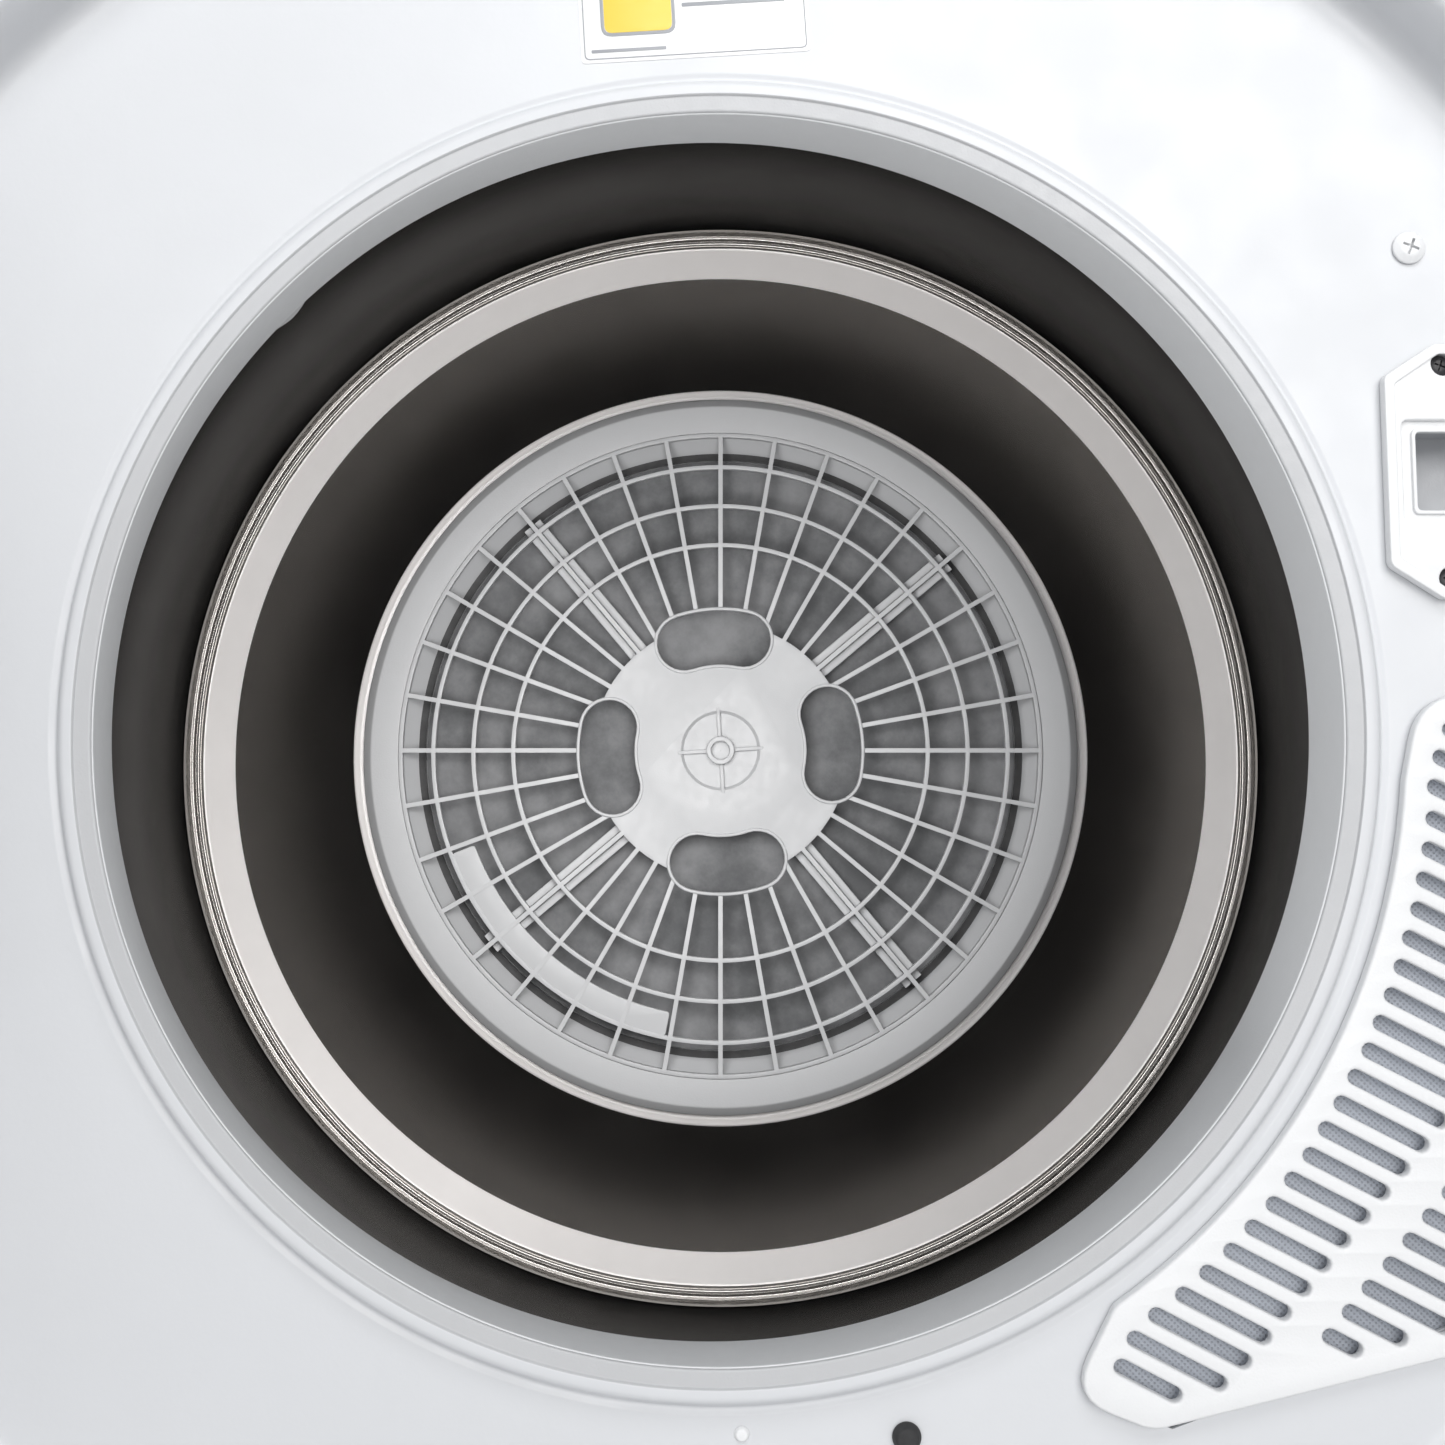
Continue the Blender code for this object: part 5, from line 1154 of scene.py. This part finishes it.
print("filter cover has", len(cover.data.polygons), "faces")

# %% [markdown]
# Between the cover and the cloth lie four double bars that keep the cloth from bulging into the drum, and a dark
# gasket round its edge. The bars are one grooved bar, copied round the axis.

# %% Bars and gasket
BAR_START, BAR_END = 0.050, 0.1500
groove_side = [(-5.2, 0), (-5.2, 4.4), (-1.4, 4.4), (-1.4, 2.6)]
bar_section = rounded(from_point(0, 0, groove_side + [(-u, v) for u, v in groove_side[::-1]]), 0.0006, 2)
bar_y = MESH_Y - 0.0066
bar_loops = [[(x, bar_y - depth, side) for side, depth in bar_section] for x in (BAR_START, BAR_END)]
bar = loft("bar", bar_loops, False, (0, 0, AXIS_Z))
bars = about_axis("cloth_bars", bar, 4, filter_grey, start=math.radians(40))
dress(bars, filter_grey, "drum", "grey_plastic")
gasket_corners = from_point(MESH_RADIUS, MESH_Y, [(0.3, -0.4), (4.4, -1.2), (4.0, 1.0), (0.3, 1.0)])
gasket = turned("cloth_gasket", rounded(gasket_corners, 0.0003), steps=128)
dress(gasket, black_rubber, "drum", "black_rubber")

# %% [markdown]
# ## Small pieces on the recess floor
# A screw head is a low dome with a cross pressed into it. One cutter shaped like a plus sign makes the cross,
# and the same helper serves every screw on the machine, large or small.

# %% Screws
def screw(name, radius, height, axis_sign=-1, turn=20.0, steps=40):
    """A pan-head screw at the origin, its head towards -Y (or +Y). Its underside is at y = 0."""
    dome = rounded(
        [(0, -height), (radius * 0.55, -height * 0.92), (radius, -height * 0.30), (radius, 0), (0, 0)],
        [0, radius * 0.5, radius * 0.12, 0.0001, 0],
        5,
    )
    head = turned(name, [(r, w * -axis_sign) for r, w in dome], steps=steps, at=(0, 0, 0))
    blades = []
    reach, thin = radius * 0.52, radius * 0.085
    for angle in (turn, turn + 90):
        blade = solid(f"{name}_blade", (-reach, -height * 1.5, -thin), (reach, -height * 0.25, thin), 0)
        matrix = Matrix.Rotation(math.radians(angle), 4, "Y") @ Matrix.Scale(-axis_sign, 4, (0, 1, 0))
        blade.data.transform(matrix)
        if axis_sign > 0:
            blade.data.flip_normals()
        blades.append(blade)
    return carve(head, *blades)


def shifted(piece, x, y, z):
    piece.data.transform(Matrix.Translation((x, y, z)))
    return piece


x_screw, z_screw = middle_of("panel_screw")
white_screw = shifted(screw("recess_screw", 0.0045, 0.0024, turn=22), x_screw, FLOOR - SEAT, z_screw)
dress(white_screw, white_plastic, "cabinet", "white_enamel", "panel_screw")

# %% Buffer and plugs
x_stop, z_stop = middle_of("door_buffer")
buffer_corners = from_point(0, 0, [(0, -3.0), (2.8, -3.0), (3.8, -0.6), (3.8, 0), (0, 0)])
plug_corners = from_point(0, 0, [(0, -1.2), (1.4, -1.1), (2.15, 0), (0, 0)])
buffer_profile = rounded(buffer_corners, [0, 0.0012, 0.0004, 0.0001, 0])
plug_profile = rounded(plug_corners, [0, 0.0006, 0.0002, 0])
plug_at, side_plug_at = [(x, FLOOR - 0.0001, AXIS_Z + z) for x, z in ((0.006, -0.1855), (-0.1978, -0.0640))]
round_pieces = [
    ("buffer_dome", buffer_profile, 40, (x_stop, FLOOR - SEAT, z_stop), black_rubber, "black_rubber", "door_buffer"),
    ("hole_plug", plug_profile, 32, plug_at, white_plastic, "white_plastic"),
    ("side_plug", buffer_profile, 32, side_plug_at, black_rubber, "black_rubber"),
]
for name, profile, steps, at, finish, slot, *nodes in round_pieces:
    dress(turned(name, profile, steps=steps, at=at), finish, "cabinet", slot, *nodes)

# %% [markdown]
# The latch plate is an eight-sided moulding with a raised border, a sunk frame round the slot, and a deep
# screw hole above and below. Each level is its own flat outline, so the steps between them stay crisp.

# %% Latch plate
half_x, half_z = 0.0225, 0.035
LATCH_OUTLINE = [
    (half_x - 0.010, -half_z), (half_x, -half_z + 0.008), (half_x, half_z - 0.008), (half_x - 0.010, half_z),
    (-half_x + 0.014, half_z), (-half_x, half_z - 0.009), (-half_x, -half_z + 0.009), (-half_x + 0.014, -half_z),
]  # fmt: skip


def latch_edge(inset, corner=0.003):
    scale_u, scale_v = (half_x - inset) / half_x, (half_z - inset) / half_z
    return rounded([(u * scale_u, v * scale_v) for u, v in LATCH_OUTLINE], corner, 4)


latch_at = (LATCH.x, 0, AXIS_Z + LATCH.y)
screw_places = [(-0.006, 0.0296), (-0.006, -0.0296)]
screw_holes = [arc(0.0033, 0, 345, 23, place) for place in screw_places]
pocket = rounded(rectangle(0.0180, 0.0140), 0.0020, 4)
window = rounded(rectangle(0.0140, 0.0108), 0.0014, 4)
lip = rounded(rectangle(0.0150, 0.0118), 0.0018, 4)
# each level: its outlines, how far its two sides are from the face, and the size of its rounded edge
levels = {
    "latch_body": ([latch_edge(0), pocket, *screw_holes], 0.0032, 0, 0.0005),
    "latch_border": ([latch_edge(0), latch_edge(0.0028, 0.002)], 0.0039, 0.0030, 0.0004),
    "latch_frame": ([rectangle(0.0183, 0.0143), window], 0.0012, 0, 0.0003),
    "latch_lip": ([lip, window], 0.0024, 0.0006, 0.0003),
}
mouldings = [
    plate(name, outlines, face - near, face - far, soften=soften, at=latch_at)
    for name, (outlines, near, far, soften) in levels.items()
]
latch = merged("latch_plate_moulding", mouldings)
dress(latch, white_plastic, "cabinet", "white_plastic", "latch_plate")
for i, (u, v) in enumerate(screw_places, start=1):
    head = screw(f"latch_screw_{i}", 0.0030, 0.0012, steps=28)
    dress(shifted(head, LATCH.x + u, face, AXIS_Z + LATCH.y + v), black_plastic, "cabinet", "dark_plastic")

# %% [markdown]
# The information label at the top of the recess is a thin printed sheet. Its print is generic: a border, a
# yellow patch and plain bars where text would be. Each is a hair-thin plate on the one below it.

# %% Label
LABEL_TURN = math.radians(3.5)
LAYER = 0.00012  # from one printed layer to the next
label_white = moulded("Label sheet", (0.80, 0.80, 0.80), 0.30, 0.00001)
label_grey = moulded("Label grey print", (0.30, 0.31, 0.33), 0.40, 0.00001)
label_yellow = moulded("Label yellow print", (0.78, 0.56, 0.06), 0.38, 0.00001)


def on_label(name, areas, level, finish):
    """A printed area, its corner at the label's lower left, turned with the label. An area is two corners and
    the size of its rounding, in millimetres. A second area is the hole in the first."""
    outlines = []
    for area in areas:
        u1, v1, u2, v2, corner = [size / 1000 for size in area]
        outlines.append(rounded([(u1, v1), (u2, v1), (u2, v2), (u1, v2)], corner, 4))
    back = FLOOR - LAYER * (level - 1)
    piece = plate(name, outlines, back - LAYER - 0.0001, back, soften=0.00002, at=(0, 0, 0))
    turn = Matrix.Translation((-0.0385, 0, AXIS_Z + 0.1835)) @ Matrix.Rotation(-LABEL_TURN, 4, "Y")
    piece.data.transform(turn)
    return dress(piece, finish, "cabinet", "white_plastic")


on_label("label_sheet", [(0, 0, 64.5, 36.0, 1.5)], 1, label_white)
on_label("label_border", [(1.0, 1.0, 63.5, 35.0, 1.5), (1.3, 1.3, 63.2, 34.7, 1.3)], 2, label_grey)
on_label("label_patch", [(6.0, 7.5, 27.0, 29.0, 3.0), (6.9, 8.4, 26.1, 28.1, 2.2)], 2, label_grey)
on_label("label_patch_fill", [(7.0, 8.5, 26.0, 28.0, 2.2)], 2, label_yellow)
bars_of_text = [(3.0, 2.9, 24.0, 3.8)]
bars_of_text += [(29.0, v, 29.0 + width, v + 1.1) for v, width in ((15, 29), (19, 31), (23, 25), (27, 30))]
for i, corners in enumerate(bars_of_text, start=1):
    on_label(f"label_bar_{i}", [(*corners, 0.3)], 2, label_grey)
print("label has", len(bars_of_text), "plain bars")

# %% [markdown]
# ## The cabinet
# Sheet-metal boxes are folded, so their edges have a radius of a millimetre or so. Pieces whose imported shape
# is already right only need that: a merged copy, its flat areas cleaned of needless edges, and a small bevel.

# %% Copies with softened edges
def softened(name, node, width, segments=2, angle=30):
    """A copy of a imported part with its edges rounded."""
    bm = bmesh.new()
    bm.from_mesh(frame["nodes"][node].data)
    bmesh.ops.remove_doubles(bm, verts=bm.verts, dist=1e-5)
    bmesh.ops.dissolve_limit(bm, angle_limit=math.radians(0.6), verts=bm.verts, edges=bm.edges)
    bmesh.ops.recalc_face_normals(bm, faces=bm.faces)
    return bevelled(object_of(name, bm, None), width, segments, angle, 40)


def soft_node(node, finish, body, slot, width=0.0005, segments=2):
    return dress(softened(f"{node}_shape", node, width, segments), finish, body, slot, node)

# %% Laminated worktop, side sheets, plinth and pan
laminate = moulded("White laminate", (0.68, 0.685, 0.69), 0.34, 0.00010)
low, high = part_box("worktop")
top = solid("worktop_board", low, high, 0.0032, 5)
dress(top, laminate, "cabinet", "white_laminate", "worktop")
for node in ("side_panel_left", "side_panel_right"):
    soft_node(node, white_enamel, "cabinet", "white_enamel", 0.0005)
soft_node("kick_panel", white_enamel, "cabinet", "white_enamel", 0.0004)
soft_node("base_pan", zinc_sheet, "cabinet", "zinc", 0.0005)
for i in range(1, 5):
    node = f"levelling_foot_{i}"
    (x1, y1, z1), (x2, y2, z2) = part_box(node)
    corners = from_point(0, z1, [(0, 0), (19.8, 0), (20.0, 5.0), (12.0, 7.5), (6.0, 8.5)]) + [(0.0060, z2), (0, z2)]
    profile = rounded(corners, [0, 0.0012, 0.0015, 0.001, 0.0005, 0.0003, 0])
    foot = turned(f"foot_{i}", profile, axis="Z", steps=64, at=((x1 + x2) / 2, (y1 + y2) / 2, 0))
    dress(foot, black_rubber, "cabinet", "black_rubber", node)
print("cabinet dressed")

# %% [markdown]
# The rear panel is a flat sheet with louvres, a hole for the exhaust and a hole for the mains lead. Louvres are
# cut and pushed out in one stroke of a press, so each is a slot with a hood over it. One hood is lofted and
# repeated down the panel, and a row of screws runs along each edge.

# %% Rear panel
low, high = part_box("rear_panel")
OUTLET, OUTLET_RADIUS = (-0.005, 0.069), 0.036
LOUVRE_FOOT, LOUVRE_STEP, LOUVRES = high.z - 0.0866, 0.014, 6
louvre_holes = []
for i in range(LOUVRES):
    foot = LOUVRE_FOOT + LOUVRE_STEP * i
    louvre_holes.append([(-0.09, foot), (0.09, foot), (0.09, foot + 0.005), (-0.09, foot + 0.005)])
sheet_outline = rounded([(low.x, low.z), (high.x, low.z), (high.x, high.z), (low.x, high.z)], 0.004, 4)
round_holes = [arc(OUTLET_RADIUS, 0, 354, 59, OUTLET), arc(0.0085, 0, 345, 23, middle_of("cord_gland"))]
rear_outlines = [sheet_outline, *round_holes, *louvre_holes]
rear = plate("rear_sheet", rear_outlines, low.y, high.y, soften=0.0003, at=(0, 0, 0))
dress(rear, zinc_sheet, "cabinet", "zinc", "rear_panel")
HOOD_DEPTH, HOOD_HEIGHT, HOOD_WALL = 0.0036, 0.0052, 0.0006


def louvre_hood(name):
    """A quarter-round hood over a slot, closed at its ends."""
    loops = []
    root, crest = high.y - 0.0003, LOUVRE_FOOT + HOOD_HEIGHT
    for x, share in ((-0.094, 0.05), (-0.090, 0.75), (-0.086, 1), (0.086, 1), (0.090, 0.75), (0.094, 0.05)):
        section = arc(HOOD_DEPTH * share, 0, 90, 6)
        outside = [(x, root + v, crest - HOOD_HEIGHT * u / HOOD_DEPTH) for u, v in section]
        inside = [(x, root + max(v - HOOD_WALL, 0), crest - 0.0050 * u / HOOD_DEPTH) for u, v in section]
        loops.append(outside + inside[::-1])
    return loft(name, loops, False)


hoods = in_a_row("louvre_hoods", louvre_hood("hood"), LOUVRES, (0, 0, LOUVRE_STEP), zinc_sheet)
dress(hoods, zinc_sheet, "cabinet", "zinc")
SCREWS, SCREW_MARGIN = 6, 0.03
screw_step = (0, 0, (high.z - low.z - 2 * SCREW_MARGIN) / (SCREWS - 1))
for name, x in (("left", low.x + 0.012), ("right", high.x - 0.012)):
    first = shifted(screw("rear_screw", 0.0042, 0.0022, 1, steps=20), x, high.y - 0.0002, low.z + SCREW_MARGIN)
    row = in_a_row(f"rear_screws_{name}", first, SCREWS, screw_step, bright_steel)
    dress(row, bright_steel, "cabinet", "bright_steel")

# %% [markdown]
# ## Controls
# The fascia is one white moulding. Its dials are turned knobs with a ribbed edge and a grip across the face,
# and their scales are small raised marks: ticks for the timer and dots for the heat.

# %% Fascia and its marks
mark_grey = moulded("Scale marks", (0.16, 0.17, 0.18), 0.5, 0.00001)
soft_node("control_fascia", white_plastic, "cabinet", "white_plastic", 0.0010, 3)
FASCIA_FACE = span("control_fascia", "Y")[0]
dials = {}
for name in ("timer_dial", "heat_dial", "start_button"):
    left, right = span(name, "X")
    dials[name] = [*middle_of(name), (right - left) / 2]
mark_back, mark_face = FASCIA_FACE - 0.0002, FASCIA_FACE + 0.0004


def scale_marks(name, mark, count, centre, step, start=0.0):
    marks = about_axis(name, mark, count, mark_grey, math.radians(step), math.radians(start), centre)
    dress(marks, mark_grey, "cabinet", "dark_plastic")


x, z, radius = dials["timer_dial"]
tick_low, tick_high = (-0.0004, mark_back, radius + 0.0030), (0.0004, mark_face, radius + 0.0062)
scale_marks("timer_marks", solid("tick", tick_low, tick_high, 0.0001, 1, (x, 0, z)), 23, (x, 0, z), -15)
x, z, radius = dials["heat_dial"]
dot_profile = [(0, mark_back), (0.0009, mark_back), (0.0009, mark_face), (0, mark_face)]
dot = turned("dot", dot_profile, steps=20, at=(x, 0, z + radius + 0.0045))
scale_marks("heat_marks", dot, 5, (x, 0, z), 22.5, -45)
lens_finish = moulded("Amber lens", (0.85, 0.42, 0.06), 0.15, 0.00001)
x, z, radius = dials["start_button"]
lens_corners = from_point(0, 0, [(0, -1.4), (2.2, -1.2), (3.0, 0.4), (0, 0.4)])
lens_profile = rounded(lens_corners, [0, 0.001, 0.0002, 0])
lens_cap = turned("indicator_lens", lens_profile, steps=32, at=(x + 0.030, FASCIA_FACE, z))
dress(lens_cap, lens_finish, "cabinet", "white_plastic")


# %% Dials and the start button
def knob(name, node, body):
    x, z, radius = dials[node]
    front, back = span(node, "Y")
    face_y = FASCIA_FACE - SEAT
    crown = front + 0.006
    profile = rounded(
        [
            (0, crown + 0.0006), (radius * 0.74, crown + 0.0004), (radius * 0.86, crown),
            (radius * 0.97, face_y - 0.004), (radius, face_y - 0.0016), (radius, face_y), (0.004, face_y),
            (0.004, back), (0, back),
        ],
        [0, 0.001, 0.0016, 0.001, 0.0006, 0.0003, 0, 0, 0],
        4,
    )  # fmt: skip
    at = (x, 0, z)
    base = turned(f"{name}_knob", profile, steps=96, at=at)
    rib_low, rib_high = (radius * 0.90, crown + 0.0016, -0.0006), (radius * 0.978, face_y - 0.0030, 0.0006)
    rib = solid(f"{name}_rib", rib_low, rib_high, 0.0003, 2, at)
    ribs = about_axis(f"{name}_ribs", rib, 32, silver_lacquer, centre=at)
    grip_low, grip_high = (-0.0034, front, -radius * 0.79), (0.0034, crown + 0.002, radius * 0.79)
    grip = solid(f"{name}_grip", grip_low, grip_high, 0.0018, 4, at)
    dress(merged(f"{name}_knob_body", [base, ribs, grip]), silver_lacquer, body, "silver_plastic", node)
    pointer_low, pointer_high = (-0.0005, front, radius * 0.30), (0.0005, front + 0.0008, radius * 0.74)
    pointer = solid(f"{name}_pointer", pointer_low, pointer_high, 0.0002, 1, at)
    dress(pointer, mark_grey, body, "dark_plastic")


knob("timer", "timer_dial", "timer_knob")
knob("heat", "heat_dial", "heat_knob")
soft_node("start_button", silver_lacquer, "start_key", "silver_plastic", 0.0006, 3)

# %% [markdown]
# ## The door
# The door hangs open on the left. It is easier to draw it shut, about the drum's axis, where every ring is a
# turned outline, and then to swing the finished meshes about the hinge by the angle at which it stands open.

# %% Swing
DOOR_OPEN = math.radians(105)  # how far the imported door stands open
HINGE = Vector(joints["door_hinge"]["pos_m"])
DOOR_RADIUS = RECESS_RADIUS - 0.004
DOOR_FACE = FRONT - 0.020
DOOR_BACK = FLOOR - 0.006
GLASS_SEAT = DOOR_BACK - 0.014
WINDOW_RADIUS = 0.5682 * DOOR_RADIUS
HINGE_HALF = 0.2052 * RECESS_RADIUS


def swung(piece):
    there = Matrix.Translation(HINGE) @ Matrix.Rotation(-DOOR_OPEN, 4, "Z") @ Matrix.Translation(-HINGE)
    piece.data.transform(there)
    return piece


def door_notch(name, low_y):
    """The space that the hinge leaf needs in the door's edge."""
    low = (-DOOR_RADIUS - 0.01, low_y, AXIS_Z - HINGE_HALF)
    high = (HINGE.x + 0.012, DOOR_BACK + 0.01, AXIS_Z + HINGE_HALF)
    return solid(name, low, high, 0)


# %% Frame, liner, window and seal
inner, lip = WINDOW_RADIUS - 0.004, GLASS_SEAT - 0.004 - 2 * SEAT
skin = 0.003
frame_profile = rounded(
    [
        (inner, lip), (inner, DOOR_FACE + 0.004), (inner + 0.008, DOOR_FACE), (DOOR_RADIUS - 0.008, DOOR_FACE),
        (DOOR_RADIUS, DOOR_FACE + 0.008), (DOOR_RADIUS, DOOR_BACK), (DOOR_RADIUS - skin, DOOR_BACK),
        (DOOR_RADIUS - skin, DOOR_FACE + 0.009), (DOOR_RADIUS - 0.009, DOOR_FACE + skin),
        (inner + 0.008, DOOR_FACE + skin), (inner + 0.0025, DOOR_FACE + 0.008), (inner + 0.0025, lip),
    ],
    [0.0006, 0.004, 0.006, 0.010, 0.010, 0.0008, 0.0006, 0.004, 0.004, 0.003, 0.003, 0.0006],
    5,
)  # fmt: skip
door_ring = turned("door_ring", frame_profile, steps=192)
carve(door_ring, door_notch("ring_notch", DOOR_FACE + skin + 0.0002))
dress(swung(door_ring), white_plastic, "door", "white_plastic", "door_frame")

outer, groove, t = DOOR_RADIUS - skin - SEAT, MOUTH_RADIUS + 0.006, 0.0025
liner_profile = rounded(
    [
        (WINDOW_RADIUS + 0.0006, GLASS_SEAT), (groove, GLASS_SEAT), (groove, DOOR_BACK - t), (outer, DOOR_BACK - t),
        (outer, DOOR_BACK), (groove - t, DOOR_BACK), (groove - t, GLASS_SEAT + t),
        (WINDOW_RADIUS + 0.0006, GLASS_SEAT + t),
    ],
    [0.0003, 0.001, 0.001, 0.0003, 0.0008, 0.0016, 0.0018, 0.0008],
    4,
)  # fmt: skip
liner = turned("door_inner", liner_profile, steps=192)
carve(liner, door_notch("inner_notch", DOOR_FACE + skin))
dress(swung(liner), white_plastic, "door", "white_plastic", "door_liner")

seat, tip, t = GLASS_SEAT - SEAT, DOOR_BACK + 0.030, 0.004
a, b, edge = WINDOW_RADIUS * 0.72, WINDOW_RADIUS * 0.91, WINDOW_RADIUS - 0.0005
bowl_profile = rounded(
    [
        (0, tip), (a, tip - 0.003), (b, tip - 0.014), (edge, seat + 0.006), (edge, seat), (WINDOW_RADIUS + 0.009, seat),
        (WINDOW_RADIUS + 0.009, seat - t), (edge - t, seat - t), (edge - t, seat + 0.004), (b - t, tip - 0.016),
        (a - 0.002, tip - 0.003 - t), (0, tip - t),
    ],
    [0, 0.03, 0.012, 0.004, 0.001, 0.001, 0.001, 0.002, 0.004, 0.012, 0.03, 0],
    6,
)  # fmt: skip
bowl = turned("window_bowl", bowl_profile, steps=160)
dress(swung(bowl), window_glass, "door", "smoked_glass", "door_window")
sunk, middle = GLASS_SEAT + 0.0025, MOUTH_RADIUS - 0.0065
seal_face = FLOOR - 0.006 - SEAT
seal_base = [(middle - 0.006, sunk + SEAT), (middle + 0.006, sunk + SEAT)]
seal_lip = [(middle + 0.0034, seal_face), (middle - 0.0024, seal_face)]
seal = turned("door_gasket", rounded(seal_base + seal_lip, [0.0006, 0.0006, 0.0020, 0.0020], 5), steps=160)
dress(swung(seal), black_rubber, "door", "black_rubber", "door_seal")

# %% Handle, catch and hinge
soft_node("door_handle", silver_lacquer, "door", "silver_plastic", 0.0016, 3)
hinge_bodies = {"door_hook": "door", "hinge_leaf": "door", "hinge_plate": "cabinet", "hinge_pin": "cabinet"}
for node, body in hinge_bodies.items():
    soft_node(node, bright_steel, body, "bright_steel", 0.0004)
print("door swung open by", round(math.degrees(DOOR_OPEN)), "degrees")

# %% [markdown]
# ## Inside the cabinet
# These parts are seen only with the panels off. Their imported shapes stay, each with the finish of its real
# material, and the motor gets cooling fins.

# %% Finishes for the inner parts
inner_finishes = {
    zinc_sheet: ["front_bulkhead", "air_chamber", "blower_housing", "exhaust_duct", "motor_cradle", "idler_bracket"],
    grey_felt: ["drum_felt"],
    heater_metal: ["heater_element"],
    black_plastic: ["motor_can", "cord_gland"],
    circuit_green: ["control_board"],
    bright_steel: ["drum_spider", "drum_shaft", "shaft_bearing", "motor_shaft", "idler_arm"],
    lifter_grey: ["latch_housing", "blower_wheel", "idler_pulley"],
    black_rubber: ["drive_belt", "drum_roller_left", "drum_roller_right"],
}
for finish, nodes in inner_finishes.items():
    for node in nodes:
        mesh = frame["nodes"][node].data
        mesh.materials.clear()
        mesh.materials.append(finish)
print(sum(len(nodes) for nodes in inner_finishes.values()), "inner parts finished")

# %% Motor fins
low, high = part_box("motor_can")
motor_at = ((low.x + high.x) / 2, 0, (low.z + high.z) / 2)
can_radius = (high.x - low.x) / 2
fin_low = (can_radius - 0.0004, low.y + 0.020, -0.0012)
fin_high = (can_radius + 0.0016, high.y - 0.020, 0.0012)
fin = solid("motor_fin", fin_low, fin_high, 0.0005, 1, motor_at)
fins = about_axis("motor_fins", fin, 20, black_plastic, math.radians(9), math.radians(4), motor_at)
dress(fins, black_plastic, "cabinet", "dark_plastic")

# %% [markdown]
# ## The size of the model
# The dressed model must be no larger than the imported one. Both boxes are printed, so that they can be
# compared after each change.

# %% Print the boxes
seen_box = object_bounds()
for word, box in (("packed ", cad_box), ("dressed", seen_box)):
    print(word, "model, mm:", [round(1000 * (h - l), 1) for l, h in zip(*box)])
